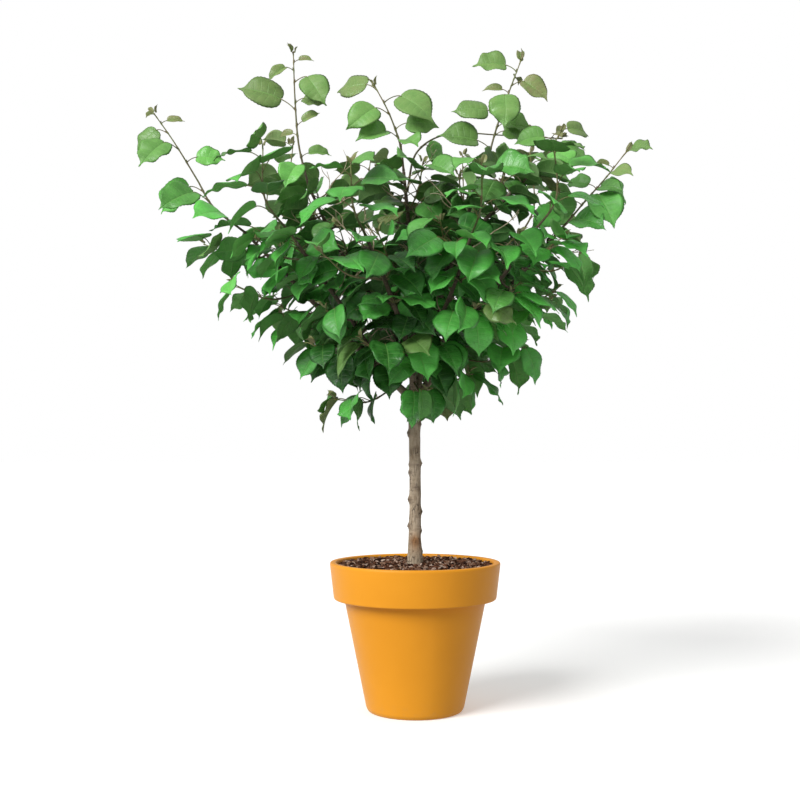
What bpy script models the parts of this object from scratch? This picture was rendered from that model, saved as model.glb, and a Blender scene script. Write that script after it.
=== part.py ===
"""A young apricot tree, grown as a standard on one clear stem, in a round patio pot.

Units are metres, +Z is up, and the origin is the middle of the pot's flat underside. -Y is the front.
The pieces are the pot, the growing medium, the trunk with its branches, and this season's leafy shoots.
Each shoot is one piece: a green stem, with the stalk and blade of every leaf growing out of it.
"""
import math
import random

import bmesh
import bpy
from mathutils import Vector
from mathutils.bvhtree import BVHTree

GAP = 0.0003                       # between two pieces that touch

# Pot: a tapered body under a deep rim band
POT_HEIGHT = 0.258
RIM_RADIUS = 0.150
RIM_FOOT_RADIUS = 0.143
RIM_BAND_HEIGHT = 0.064
BODY_TOP_RADIUS = 0.1245
BODY_FOOT_RADIUS = 0.086
WALL = 0.005
LIP_THICKNESS = 0.012
FOOT_ROUNDING = 0.006
FLOOR = 0.006
DRAIN_RADIUS = 0.008
DRAIN_CIRCLE_RADIUS = 0.048
DRAIN_COUNT = 4
POT_SIDES = 44                     # the growing medium has the same

# Growing medium
SOIL_LEVEL = 0.2515                # at the pot's wall
SOIL_MOUND = 0.002                 # how much higher it lies round the trunk

# Trunk: centre line and radius from its foot in the medium up to the head where the branches part
TRUNK_LINE = (
    # x, y, z, radius
    (0.0000, 0.000, 0.195, 0.0130),
    (0.0000, 0.000, 0.240, 0.0150),
    (0.0000, 0.000, 0.256, 0.0145),
    (-0.0005, 0.000, 0.300, 0.0112),
    (0.0005, 0.001, 0.350, 0.0104),
    (0.0000, 0.000, 0.420, 0.0103),
    (-0.0010, -0.001, 0.490, 0.0104),
    (-0.0010, 0.000, 0.525, 0.0125),
    (0.0000, 0.000, 0.552, 0.0130),
    (0.0000, 0.000, 0.572, 0.0085),
)
TRUNK_SIDES = 12
BRANCH_SIDES = 7
BRANCH_STEPS = 5
BRANCH_END_RADIUS = 0.0028

# Branches: parent (None is the trunk's head), where along it they fork, their radius there, and
# the points that they grow through
BRANCHES = {
    "left": (None, 0, 0.0068, ((-0.002, 0.000, 0.540), (-0.090, -0.012, 0.625),
                               (-0.200, -0.018, 0.735), (-0.300, -0.015, 0.838))),
    "right": (None, 0, 0.0066, ((0.002, 0.000, 0.548), (0.080, -0.010, 0.640),
                                (0.170, -0.014, 0.745), (0.250, -0.012, 0.835))),
    "front": (None, 0, 0.0062, ((0.000, -0.002, 0.544), (-0.012, -0.080, 0.625),
                                (-0.045, -0.165, 0.715), (-0.080, -0.235, 0.790))),
    "back": (None, 0, 0.0064, ((0.000, 0.002, 0.546), (0.015, 0.085, 0.640),
                               (-0.015, 0.175, 0.755), (-0.065, 0.250, 0.865))),
    "centre": (None, 0, 0.0070, ((0.000, 0.000, 0.552), (-0.014, 0.006, 0.690),
                                 (-0.010, 0.012, 0.830), (-0.020, 0.010, 0.955))),
    "reach": (None, 0, 0.0056, ((0.001, -0.001, 0.556), (0.030, -0.038, 0.660), (0.065, -0.060, 0.780),
                                (0.140, -0.066, 0.872), (0.222, -0.060, 0.950))),
    "upper_left": ("centre", 0.14, 0.0050, ((-0.065, 0.030, 0.710), (-0.135, 0.030, 0.815),
                                            (-0.190, 0.005, 0.925))),
    "upper_right": ("centre", 0.22, 0.0048, ((0.040, 0.018, 0.745), (0.080, 0.000, 0.840),
                                             (0.118, -0.018, 0.930))),
    "left_front": ("left", 0.22, 0.0046, ((-0.105, -0.075, 0.670), (-0.160, -0.140, 0.745),
                                          (-0.205, -0.190, 0.805))),
    "left_back": ("left", 0.30, 0.0046, ((-0.135, 0.060, 0.700), (-0.180, 0.120, 0.790),
                                         (-0.215, 0.165, 0.875))),
    "front_right": ("front", 0.22, 0.0044, ((0.035, -0.105, 0.665), (0.065, -0.170, 0.730),
                                            (0.085, -0.228, 0.790))),
    "right_front": ("right", 0.24, 0.0044, ((0.105, -0.080, 0.690), (0.150, -0.130, 0.750),
                                            (0.190, -0.168, 0.808))),
    "right_back": ("right", 0.30, 0.0046, ((0.130, 0.060, 0.710), (0.170, 0.115, 0.790),
                                           (0.205, 0.160, 0.865))),
    "back_right": ("back", 0.26, 0.0046, ((0.060, 0.130, 0.705), (0.085, 0.190, 0.790),
                                          (0.095, 0.245, 0.870))),
}

# Leaves
PETIOLE_SHARE = 0.40               # stalk length over blade length
PETIOLE_RISE = 32                  # degrees above level
PETIOLE_HALF = 0.0009
BLADE_HALF_THICKNESS = 0.0008
BLADE_WIDTH_SHARE = 0.84           # blade width over blade length, full grown
YOUNG_LENGTH = 0.045               # blades shorter than this are narrower
YOUNG_WIDTH_SHARE = 0.56
BLADE_CURL = 38                    # degrees that the blade's midrib turns down from base to tip
BLADE_FOLD = 0.20                  # rise of the margins over their distance from the midrib
BLADE_STATIONS = ((0.12, 0.76), (0.50, 0.93))   # share of the length, share of the half width
LEAF_CLEARANCE = 0.0022            # kept round every blade
LEAF_TRIES = 14
GOLDEN_ANGLE = 137.5
STALK_ANGLES = (40, 128)           # least and greatest degrees between a leaf's stalk and its stem
NODE_HALF = 0.0016                 # half height of the swelling where a leaf stalk leaves the stem

# Stems
STEM_SIDES = 5
STEM_BASE_RADIUS = 0.0021
STEM_TIP_RADIUS = 0.0010

# Leading shoots, one on each branch end: the points that the stem grows through after the branch end,
# and its leaves as (place along the stem, compass heading, droop below level, blade length), with
# headings in degrees anticlockwise from +X. Their upper sides face the front.
LEADERS = {
    "left": (((-0.358, -0.012, 0.885), (-0.388, -0.010, 0.935), (-0.428, -0.008, 1.000),
              (-0.465, -0.006, 1.053)),
             ((0.10, 200, 0, 0.074), (0.31, 184, 14, 0.080), (0.40, 165, 38, 0.074), (0.62, 8, 5, 0.052),
              (0.71, 218, 48, 0.072), (0.84, 192, 40, 0.056), (0.92, 5, 5, 0.032), (0.98, 185, 8, 0.024))),
    "upper_left": (((-0.208, 0.000, 1.000), (-0.215, -0.002, 1.085), (-0.218, -0.004, 1.165)),
                   ((0.13, 235, 55, 0.060), (0.24, 10, 5, 0.042), (0.40, 175, 0, 0.030),
                    (0.47, 5, -25, 0.036), (0.58, 177, -14, 0.084), (0.63, -12, 22, 0.046),
                    (0.78, -25, 56, 0.070), (0.87, 190, 42, 0.042), (0.93, 0, 6, 0.028),
                    (0.99, 205, -55, 0.018))),
    "centre": (((-0.026, 0.002, 1.000), (-0.046, -0.006, 1.055), (-0.070, -0.012, 1.100)),
               ((0.32, 300, 28, 0.052), (0.42, 196, 24, 0.062), (0.50, -4, 10, 0.060),
                (0.66, 200, 42, 0.072), (0.80, -12, 40, 0.082), (0.97, 178, -6, 0.070))),
    "upper_right": (((0.132, -0.022, 0.980), (0.147, -0.024, 1.032), (0.166, -0.026, 1.086),
                     (0.187, -0.026, 1.142)),
                    ((0.28, 184, -3, 0.074), (0.40, 0, 22, 0.048), (0.47, 12, 14, 0.046),
                     (0.55, 180, 4, 0.066), (0.68, 262, 72, 0.072), (0.75, 176, 4, 0.036),
                     (0.81, -6, 42, 0.058), (0.86, 30, -12, 0.034), (0.92, 182, 2, 0.060),
                     (0.99, 50, -66, 0.030))),
    "right": (((0.279, -0.010, 0.868), (0.306, -0.008, 0.900), (0.338, -0.006, 0.936),
               (0.376, -0.004, 0.984)),
              ((0.10, -8, 14, 0.072), (0.26, 172, 30, 0.060), (0.42, 150, 20, 0.055), (0.48, -18, 52, 0.078),
               (0.58, 0, 0, 0.050), (0.64, 140, -8, 0.048), (0.71, -5, 22, 0.060), (0.78, 8, -5, 0.045),
               (0.86, 178, -10, 0.026), (0.98, 0, -6, 0.046))),
    "reach": (((0.238, -0.062, 0.980), (0.252, -0.064, 1.006)),
              ((0.16, 305, 34, 0.060), (0.42, -5, 12, 0.056), (0.66, 172, 12, 0.054), (0.98, 20, 8, 0.050))),
}

# A long bare whip that leaves the middle branch, as a leading shoot with its branch and place first
WHIP = ("centre", 0.90, ((0.004, 0.032, 0.995), (0.062, 0.036, 1.030), (0.160, 0.030, 1.026),
                         (0.264, 0.020, 1.017)),
        ((0.30, 20, 20, 0.056), (0.90, 175, -30, 0.030), (0.96, 350, 4, 0.032), (0.99, 70, -50, 0.030)))

# Plain leading shoots: how far the stem goes on, how much of that is straight up, and its leaf count
PLAIN_LEADERS = {
    "front": (0.115, 0.45, 6),
    "back": (0.190, 0.70, 8),
    "left_front": (0.140, 0.50, 7),
    "left_back": (0.180, 0.65, 8),
    "front_right": (0.115, 0.50, 6),
    "right_front": (0.135, 0.55, 7),
    "right_back": (0.175, 0.65, 8),
    "back_right": (0.185, 0.70, 8),
}

# Side shoots: branch, place along it, compass heading, rise above level, stem length, leaf count
SIDE_SHOOTS = (
    ("left", 0.12, 212, -18, 0.125, 7),
    ("left", 0.34, 228, -4, 0.120, 6),
    ("left", 0.50, 150, 8, 0.120, 6),
    ("left", 0.66, 205, 0, 0.130, 6),
    ("left", 0.80, 112, 48, 0.110, 6),
    ("left", 0.92, 192, -2, 0.095, 6),
    ("right", 0.12, 318, 2, 0.085, 6),
    ("right", 0.27, 335, 4, 0.130, 7),
    ("right", 0.44, 312, -2, 0.115, 6),
    ("right", 0.60, 20, 8, 0.110, 6),
    ("right", 0.78, 330, 2, 0.100, 6),
    ("front", 0.13, 285, -22, 0.080, 6),
    ("front", 0.38, 232, -6, 0.110, 6),
    ("front", 0.74, 205, 18, 0.110, 6),
    ("front_right", 0.45, 300, -6, 0.090, 6),
    ("front_right", 0.80, 350, 24, 0.100, 6),
    ("left_front", 0.42, 250, -8, 0.090, 6),
    ("left_front", 0.78, 180, 20, 0.095, 6),
    ("right_front", 0.45, 290, -8, 0.095, 6),
    ("right_front", 0.80, 10, 22, 0.090, 6),
    ("back", 0.14, 75, -12, 0.110, 6),
    ("back", 0.42, 120, -4, 0.120, 6),
    ("back", 0.72, 60, 28, 0.110, 6),
    ("left_back", 0.40, 165, 0, 0.120, 6),
    ("left_back", 0.76, 95, 30, 0.110, 6),
    ("right_back", 0.40, 20, 0, 0.120, 6),
    ("right_back", 0.76, 85, 30, 0.110, 6),
    ("back_right", 0.45, 50, 0, 0.110, 6),
    ("centre", 0.50, 235, 38, 0.110, 6),
    ("centre", 0.62, 60, 44, 0.120, 6),
    ("centre", 0.80, 290, 52, 0.100, 6),
    ("upper_left", 0.55, 250, 34, 0.110, 6),
    ("upper_left", 0.80, 130, 44, 0.110, 6),
    ("upper_right", 0.52, 40, 36, 0.110, 6),
    ("upper_right", 0.82, 100, 50, 0.100, 6),
    ("reach", 0.50, 255, 24, 0.110, 6),
    ("reach", 0.74, 285, 30, 0.100, 6),
)


# ------------------------------------------------------------------ directions and curves

def heading_vector(heading, rise):
    """The unit vector at a compass heading and a rise above level, both in degrees."""
    turn = math.radians(heading)
    lift = math.radians(rise)
    return Vector((math.cos(turn) * math.cos(lift), math.sin(turn) * math.cos(lift), math.sin(lift)))


def compass(vector):
    """The compass heading of a vector, in degrees."""
    return math.degrees(math.atan2(vector.y, vector.x))


def along(points, share):
    """The point at a share of a smooth curve that passes through all the points."""
    reach = share * (len(points) - 1)
    i = min(int(reach), len(points) - 2)
    s = reach - i
    p1 = points[i]
    p2 = points[i + 1]
    p0 = points[i - 1] if i > 0 else p1 * 2 - p2
    p3 = points[i + 2] if i + 2 < len(points) else p2 * 2 - p1
    bend = p0 * 2 - p1 * 5 + p2 * 4 - p3
    twist = p1 * 3 - p0 - p2 * 3 + p3
    return (p1 * 2 + (p2 - p0) * s + bend * s * s + twist * s * s * s) / 2


def direction_along(points, share):
    """The curve's direction at a share of it."""
    step = 0.01
    return (along(points, min(share + step, 1)) - along(points, max(share - step, 0))).normalized()


# ------------------------------------------------------------------ the plan of the tree

def branch_line(name):
    """The points that a branch grows through, from its fork."""
    parent, fork, _, points = BRANCHES[name]
    line = [Vector(p) for p in points]
    if parent:
        line.insert(0, along(branch_line(parent), fork))
    return line


def branch_radius(name, share):
    """A branch's radius at a share of its length."""
    base = BRANCHES[name][2]
    return base + (BRANCH_END_RADIUS - base) * share


def outward(point):
    """The level direction away from the trunk's axis."""
    level = Vector((point.x, point.y, 0))
    return level.normalized() if level.length > 0.01 else Vector((0, -1, 0))


def leader_line(name):
    """The stem's points for the shoot that goes on from a branch end, and the way its foot faces."""
    line = branch_line(name)
    end = line[-1]
    onward = direction_along(line, 1)
    start = end + onward * GAP
    if name in LEADERS:
        return [start] + [Vector(p) for p in LEADERS[name][0]], onward
    length, upright, _ = PLAIN_LEADERS[name]
    tip = start + (onward * (1 - upright) + Vector((0, 0, upright))).normalized() * length
    return [start, start + onward * length * 0.5, tip], onward


def side_foot(branch, share, way):
    """Where a shoot that heads that way stands on the side of a branch, and the way its foot faces."""
    line = branch_line(branch)
    step = min(int(share * BRANCH_STEPS), BRANCH_STEPS - 1)
    below = along(line, step / BRANCH_STEPS)
    above = along(line, (step + 1) / BRANCH_STEPS)
    axis = (above - below).normalized()
    side = (way - axis * way.dot(axis)).normalized()
    centre = below + (above - below) * (share * BRANCH_STEPS - step)
    return centre + side * (branch_radius(branch, share) + GAP), side


def side_line(branch, share, heading, rise, length):
    """The stem's points for a shoot that leaves the side of a branch and turns up towards its tip."""
    way = heading_vector(heading, rise)
    start, side = side_foot(branch, share, way)
    middle = start + (side * 0.35 + way * 0.65).normalized() * length * 0.5
    tip = middle + (way + Vector((0, 0, 0.35))).normalized() * length * 0.5
    return [start, middle, tip], side


def faced_leaf(place, heading, droop, length):
    """A leaf whose upper side faces the front and up."""
    return {"place": place, "heading": heading, "droop": droop, "length": length, "facing": -90, "tilt": 62}


def grown_leaves(name, line, count):
    """Leaves set round a stem by the golden angle, turned and tilted towards the light outside the crown."""
    rng = random.Random(name)
    turn = rng.uniform(0, 360)
    leaves = []
    for i in range(count):
        place = 0.24 + 0.76 * (i + 0.85) / count
        point = along(line, min(place, 0.985))
        light = outward(point)
        around = heading_vector(turn + i * GOLDEN_ANGLE, 0)
        heading = compass(around * 0.75 + light * 0.75) + rng.uniform(-14, 14)
        low = max(0.0, min(1.0, (0.86 - point.z) / 0.28))
        droop = 10 + 42 * low + rng.uniform(-16, 26)
        length = rng.uniform(0.056, 0.078) if i < count - 1 else rng.uniform(0.044, 0.062)
        leaves.append({"place": min(place, 0.985), "heading": heading, "droop": droop, "length": length,
                       "facing": compass(light) + rng.uniform(-60, 60), "tilt": rng.uniform(8, 64)})
    return leaves


def set_nodes(line, leaves):
    """Orders the leaves up the stem and gives each the stretch of stem that its node takes."""
    length = sum((along(line, (k + 1) / 12) - along(line, k / 12)).length for k in range(12))
    half = NODE_HALF / length
    leaves.sort(key=lambda leaf: leaf["place"])
    last = 0.0
    for leaf in leaves:
        leaf["place"] = max(leaf["place"], last + half * 1.6)
        last = leaf["place"] + half
    overrun = max(0.0, last + half * 0.5 - 1.0)
    for leaf in leaves:
        leaf["place"] -= overrun
        leaf["low"] = leaf["place"] - half
        leaf["high"] = leaf["place"] + half


def shoot_plan():
    """Every leafy shoot as (name, stem points, foot direction, leaves)."""
    shoots = []
    for name in BRANCHES:
        line, foot = leader_line(name)
        title = f"leading_shoot_{name}"
        if name in LEADERS:
            leaves = [faced_leaf(*leaf) for leaf in LEADERS[name][1]]
        else:
            leaves = grown_leaves(title, line, PLAIN_LEADERS[name][2])
        set_nodes(line, leaves)
        shoots.append((title, line, foot, leaves))
    branch, share, points, leaves = WHIP
    points = [Vector(point) for point in points]
    start, foot = side_foot(branch, share, points[0] - along(branch_line(branch), share))
    line = [start] + points
    leaves = [faced_leaf(*leaf) for leaf in leaves]
    set_nodes(line, leaves)
    shoots.append(("whip_shoot", line, foot, leaves))
    for number, (branch, share, heading, rise, length, count) in enumerate(SIDE_SHOOTS, 1):
        title = f"side_shoot_{number:02d}"
        line, foot = side_line(branch, share, heading, rise, length)
        leaves = grown_leaves(title, line, count)
        set_nodes(line, leaves)
        shoots.append((title, line, foot, leaves))
    return shoots


def leaf_try(leaf, attempt):
    """The leaf's attitude at one attempt: attempt 0 is as planned, later ones turn and droop more."""
    swing = (attempt + 1) // 2 * 11 * (-1 if attempt % 2 else 1)
    return {**leaf, "heading": leaf["heading"] + swing, "droop": leaf["droop"] + (attempt // 3) * 8}


def blade_base(leaf, stem_point):
    """Where the leaf's stalk ends and its blade begins."""
    stalk = heading_vector(leaf["heading"], PETIOLE_RISE - leaf["droop"] * 0.35)
    return stem_point + stalk * leaf["length"] * PETIOLE_SHARE


def blade_axes(leaf):
    """The blade's length direction, its upper side's normal and its width direction."""
    length_way = heading_vector(leaf["heading"], -leaf["droop"])
    face = heading_vector(leaf["facing"], 90 - leaf["tilt"])
    normal = face - length_way * face.dot(length_way)
    if normal.length < 0.2:
        normal = heading_vector(leaf["heading"], 90 - leaf["droop"])
    normal.normalize()
    return length_way, normal, normal.cross(length_way)


def blade_point(base, axes, length, share):
    """A point of the midrib at a share of the blade's length, and the upper normal there."""
    length_way, normal, _ = axes
    curl = math.radians(BLADE_CURL)
    first = -curl / 2
    here = first + curl * share
    forward = (math.sin(here) - math.sin(first)) / curl
    down = (math.cos(here) - math.cos(first)) / curl
    point = base + (length_way * forward + normal * down) * length
    return point, normal * math.cos(here) + length_way * math.sin(here)


def blade_half_width(length):
    """Half the greatest width of a blade of this length."""
    share = BLADE_WIDTH_SHARE if length >= YOUNG_LENGTH else YOUNG_WIDTH_SHARE
    return length * share / 2


def stalk_end_ring(base, axes, stalk, length, grow):
    """The ring where a stalk meets its blade, square to the way between the two."""
    _, normal = blade_point(base, axes, length, 0.0)
    width_way = axes[2]
    way = (stalk.normalized() + width_way.cross(normal)).normalized()
    up = (normal - way * normal.dot(way)).normalized()
    side = up.cross(way)
    reach = PETIOLE_HALF + grow
    return [base + side * reach, base + up * reach, base - side * reach, base - up * reach]


def blade_rings(leaf, stem_point, grow=0.0):
    """The four-point rings of the leaf from the end of its stalk to its last station, and its tip."""
    base = blade_base(leaf, stem_point)
    axes = blade_axes(leaf)
    width_way = axes[2]
    length = leaf["length"]
    half = blade_half_width(length)
    rings = [stalk_end_ring(base, axes, base - stem_point, length, grow)]
    for share, part in BLADE_STATIONS:
        point, normal = blade_point(base, axes, length, share)
        reach = half * part
        lift = normal * reach * BLADE_FOLD
        reach += grow
        thick = normal * (BLADE_HALF_THICKNESS + grow)
        rings.append([point + width_way * reach + lift, point + thick,
                      point - width_way * reach + lift, point - thick])
    tip, _ = blade_point(base, axes, length + grow, 1.0)
    return rings, tip


# ------------------------------------------------------------------ mesh helpers

def add_object(name, mesh, material):
    """A named object of this mesh and material in the scene."""
    mesh.materials.append(material)
    thing = bpy.data.objects.new(name, mesh)
    bpy.context.scene.collection.objects.link(thing)
    return thing


def mesh_of(name, bm):
    """A mesh datablock from a bmesh, which it frees."""
    mesh = bpy.data.meshes.new(name)
    bm.to_mesh(mesh)
    bm.free()
    return mesh


def make_material(name, colour, roughness):
    """A matt or satin Principled material."""
    material = bpy.data.materials.new(name)
    material.use_nodes = True
    shader = material.node_tree.nodes["Principled BSDF"]
    shader.inputs["Base Color"].default_value = (*colour, 1)
    shader.inputs["Roughness"].default_value = roughness
    shader.inputs["Metallic"].default_value = 0.0
    return material


def turned(bm, profile, sides):
    """A closed ring or solid turned about Z from (radius, height) points, inner axis points at radius 0."""
    columns = []
    for radius, height in profile:
        if radius == 0:
            columns.append([bm.verts.new((0, 0, height))] * sides)
            continue
        turns = [math.tau * k / sides for k in range(sides)]
        columns.append([bm.verts.new((radius * math.cos(a), radius * math.sin(a), height)) for a in turns])
    for lower, upper in zip(columns, columns[1:]):
        for k in range(sides):
            following = (k + 1) % sides
            corners = [lower[k], lower[following], upper[following], upper[k]]
            bm.faces.new(list(dict.fromkeys(corners)))
    bmesh.ops.recalc_face_normals(bm, faces=bm.faces)


def tube(bm, centres, radii, sides, foot=None):
    """A tapered tube with flat ends through the centres. Its first end faces back along foot, if given.

    Returns its rings of vertices.
    """
    rings = []
    side = None
    for i, (centre, radius) in enumerate(zip(centres, radii)):
        before = centres[max(i - 1, 0)]
        after = centres[min(i + 1, len(centres) - 1)]
        way = foot if foot and i == 0 else (after - before).normalized()
        if side is None:
            side = way.orthogonal().normalized()
        side = (side - way * side.dot(way)).normalized()
        other = way.cross(side)
        turns = [math.tau * k / sides for k in range(sides)]
        rings.append([bm.verts.new(centre + (side * math.cos(a) + other * math.sin(a)) * radius)
                      for a in turns])
    for lower, upper in zip(rings, rings[1:]):
        for k in range(sides):
            following = (k + 1) % sides
            bm.faces.new((lower[k], lower[following], upper[following], upper[k]))
    bm.faces.new(list(reversed(rings[0])))
    bm.faces.new(rings[-1])
    return rings


def join_rings(bm, lower, upper):
    """Triangles between two four-point rings, split from the lower margins to the upper midrib."""
    for k in range(4):
        following = (k + 1) % 4
        if k % 2 == 0:
            bm.faces.new((lower[k], lower[following], upper[following]))
            bm.faces.new((lower[k], upper[following], upper[k]))
        else:
            bm.faces.new((lower[k], lower[following], upper[k]))
            bm.faces.new((lower[following], upper[following], upper[k]))


# ------------------------------------------------------------------ pot and growing medium

def pot_inner_profile():
    """The inner face's (radius, height) points, from the lip down to the floor."""
    step = POT_HEIGHT - RIM_BAND_HEIGHT
    return (
        (RIM_RADIUS - LIP_THICKNESS, POT_HEIGHT - 0.004),
        (RIM_FOOT_RADIUS - WALL, step + WALL + 0.003),
        (BODY_TOP_RADIUS - WALL, step + WALL - 0.004),
        (BODY_FOOT_RADIUS - WALL + 0.001, FLOOR),
    )


def build_pot(material):
    """The pot: rim band, tapered body, rounded lip and foot, and drain holes in its floor."""
    step = POT_HEIGHT - RIM_BAND_HEIGHT
    profile = [
        (0, 0),
        (BODY_FOOT_RADIUS - FOOT_ROUNDING, 0),
        (BODY_FOOT_RADIUS - FOOT_ROUNDING * 0.3, FOOT_ROUNDING * 0.3),
        (BODY_FOOT_RADIUS, FOOT_ROUNDING),
        (BODY_TOP_RADIUS, step - 0.001),
        (RIM_FOOT_RADIUS - 0.002, step),
        (RIM_FOOT_RADIUS, step + 0.002),
        (RIM_RADIUS, POT_HEIGHT - 0.005),
        (RIM_RADIUS - 0.0018, POT_HEIGHT - 0.0012),
        (RIM_RADIUS - LIP_THICKNESS / 2, POT_HEIGHT),
        (RIM_RADIUS - LIP_THICKNESS + 0.0015, POT_HEIGHT - 0.0012),
        *pot_inner_profile(),
        (0, FLOOR),
    ]
    bm = bmesh.new()
    turned(bm, profile, POT_SIDES)
    pot = add_object("pot", mesh_of("pot", bm), material)
    for k in range(DRAIN_COUNT):
        turn = math.tau * (k + 0.5) / DRAIN_COUNT
        bpy.ops.mesh.primitive_cylinder_add(vertices=12, radius=DRAIN_RADIUS, depth=FLOOR * 3)
        cutter = bpy.context.object
        cutter.name = f"drain_cutter_{k + 1}"
        cutter.location = (DRAIN_CIRCLE_RADIUS * math.cos(turn), DRAIN_CIRCLE_RADIUS * math.sin(turn), 0)
        cutter.hide_render = True
        cutter.display_type = "WIRE"
        drain = pot.modifiers.new(f"drain_{k + 1}", "BOOLEAN")
        drain.operation = "DIFFERENCE"
        drain.object = cutter
    pot.data.shade_smooth()
    pot.data.set_sharp_from_angle(angle=math.radians(35))


def build_soil(material):
    """The growing medium: it fills the pot to below the lip, round the socket where the trunk stands."""
    lip, rim_step, body_step, floor = pot_inner_profile()
    slope = (lip[0] - rim_step[0]) / (lip[1] - rim_step[1])
    wall_radius = rim_step[0] + slope * (SOIL_LEVEL - rim_step[1]) - GAP
    socket = TRUNK_LINE[1][3] + GAP
    profile = [
        (0, FLOOR + GAP),
        (floor[0] - GAP * 3, FLOOR + GAP),
        (body_step[0] - GAP * 2, body_step[1] + GAP),
        (rim_step[0] - GAP * 2, rim_step[1] + GAP),
        (wall_radius - GAP, SOIL_LEVEL),
        (RIM_RADIUS * 0.5, SOIL_LEVEL + SOIL_MOUND * 0.4),
        (socket, SOIL_LEVEL + SOIL_MOUND),
        (socket, TRUNK_LINE[0][2] - GAP),
        (0, TRUNK_LINE[0][2] - GAP),
    ]
    bm = bmesh.new()
    turned(bm, profile, POT_SIDES)
    add_object("soil", mesh_of("soil", bm), material)


# ------------------------------------------------------------------ wood

def branch_tube(name):
    """A branch as a bmesh tube, thick at its fork and thin at its end."""
    line = branch_line(name)
    shares = [k / BRANCH_STEPS for k in range(BRANCH_STEPS + 1)]
    centres = [along(line, share) for share in shares]
    radii = [branch_radius(name, share) for share in shares]
    bm = bmesh.new()
    tube(bm, centres, radii, BRANCH_SIDES)
    return bm


def build_wood(material):
    """Trunk and branches, grown as one piece. Returns the search trees of all their tubes."""
    bm = bmesh.new()
    centres = [Vector(station[:3]) for station in TRUNK_LINE]
    tube(bm, centres, [station[3] for station in TRUNK_LINE], TRUNK_SIDES)
    solids = [BVHTree.FromBMesh(bm)]
    wood = add_object("trunk_and_branches", mesh_of("trunk_and_branches", bm), material)
    for name in BRANCHES:
        bm = branch_tube(name)
        solids.append(BVHTree.FromBMesh(bm))
        limb = add_object(f"limb_{name}", mesh_of(f"limb_{name}", bm), material)
        limb.hide_render = True
        limb.display_type = "WIRE"
        union = wood.modifiers.new(name, "BOOLEAN")
        union.operation = "UNION"
        union.object = limb
    wood.data.shade_smooth()
    return solids


# ------------------------------------------------------------------ leafy shoots

def stem_stations(leaves):
    """Shares of the stem, in order, where its rings stand: its ends and both edges of every leaf node."""
    shares = [0.0]
    for leaf in leaves:
        shares += [leaf["low"], leaf["high"]]
    return shares + [1.0]


def stem_radius(share):
    """The stem's radius at a share of its length."""
    return STEM_BASE_RADIUS + (STEM_TIP_RADIUS - STEM_BASE_RADIUS) * share


def leaf_solid(leaf, stem_point, grow):
    """A search tree of one leaf, with the outer part of its stalk, grown all round."""
    rings, tip = blade_rings(leaf, stem_point, grow)
    bm = bmesh.new()
    centre = sum(rings[0], Vector()) / 4
    inner = stem_point + (centre - stem_point) * 0.25
    rings.insert(0, [inner + (point - centre) for point in rings[0]])
    loops = [[bm.verts.new(point) for point in ring] for ring in rings]
    for lower, upper in zip(loops, loops[1:]):
        join_rings(bm, lower, upper)
    end = bm.verts.new(tip)
    for k in range(4):
        bm.faces.new((loops[-1][k], loops[-1][(k + 1) % 4], end))
    solid = BVHTree.FromBMesh(bm)
    bm.free()
    return solid


def place_leaves(shoots, solids):
    """Turns each leaf until it clears the wood, the stems and the leaves before it. Drops it if it can't."""
    placed = []
    for _, line, _, leaves in shoots:
        kept = []
        for leaf in leaves:
            stem_point = along(line, leaf["place"])
            stem_way = direction_along(line, leaf["place"])
            for attempt in range(LEAF_TRIES):
                turned_leaf = leaf_try(leaf, attempt)
                stalk = blade_base(turned_leaf, stem_point) - stem_point
                if not STALK_ANGLES[0] < math.degrees(stalk.angle(stem_way)) < STALK_ANGLES[1]:
                    continue
                solid = leaf_solid(turned_leaf, stem_point, LEAF_CLEARANCE)
                reach = leaf["length"] * (1 + PETIOLE_SHARE)
                near = [other for other, centre, far in placed if (centre - stem_point).length < reach + far]
                if not any(solid.overlap(other) for other in solids + near):
                    kept.append(turned_leaf)
                    bare = leaf_solid(turned_leaf, stem_point, 0.0)
                    placed.append((bare, stem_point, reach))
                    break
        leaves[:] = kept


def add_leaf(bm, rings, stem_point, leaf):
    """Grows one leaf out of the side of the stem that faces it."""
    blades, tip = blade_rings(leaf, stem_point)
    low, high = rings
    sides = len(low)
    way = blade_base(leaf, stem_point) - stem_point

    def faces_leaf(k):
        middle = (low[k].co + low[(k + 1) % sides].co + high[k].co + high[(k + 1) % sides].co) / 4
        return (middle - (sum((v.co for v in low + high), Vector()) / (2 * sides))).dot(way)

    k = max(range(sides), key=faces_leaf)
    corners = [low[k], low[(k + 1) % sides], high[(k + 1) % sides], high[k]]
    bm.faces.remove(bm.faces.get(corners))

    def mismatch(shift):
        return sum((corners[i].co - blades[0][(i + shift) % 4]).length for i in range(4))

    shift = min(range(4), key=mismatch)
    loops = [[corners[(i - shift) % 4] for i in range(4)]]
    loops += [[bm.verts.new(point) for point in ring] for ring in blades]
    for lower, upper in zip(loops, loops[1:]):
        join_rings(bm, lower, upper)
    end = bm.verts.new(tip)
    for i in range(4):
        bm.faces.new((loops[-1][i], loops[-1][(i + 1) % 4], end))


def build_shoot(name, line, foot, leaves, material):
    """One leafy shoot: a tapered stem with a leaf growing from each of its nodes."""
    shares = stem_stations(leaves)
    centres = [along(line, share) for share in shares]
    bm = bmesh.new()
    rings = tube(bm, centres, [stem_radius(share) for share in shares], STEM_SIDES, foot)
    for number, leaf in enumerate(leaves):
        pair = (rings[1 + number * 2], rings[2 + number * 2])
        add_leaf(bm, pair, along(line, leaf["place"]), leaf)
    shoot = add_object(name, mesh_of(name, bm), material)
    shoot.data.shade_smooth()
    shoot.data.set_sharp_from_angle(angle=math.radians(40))


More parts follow.
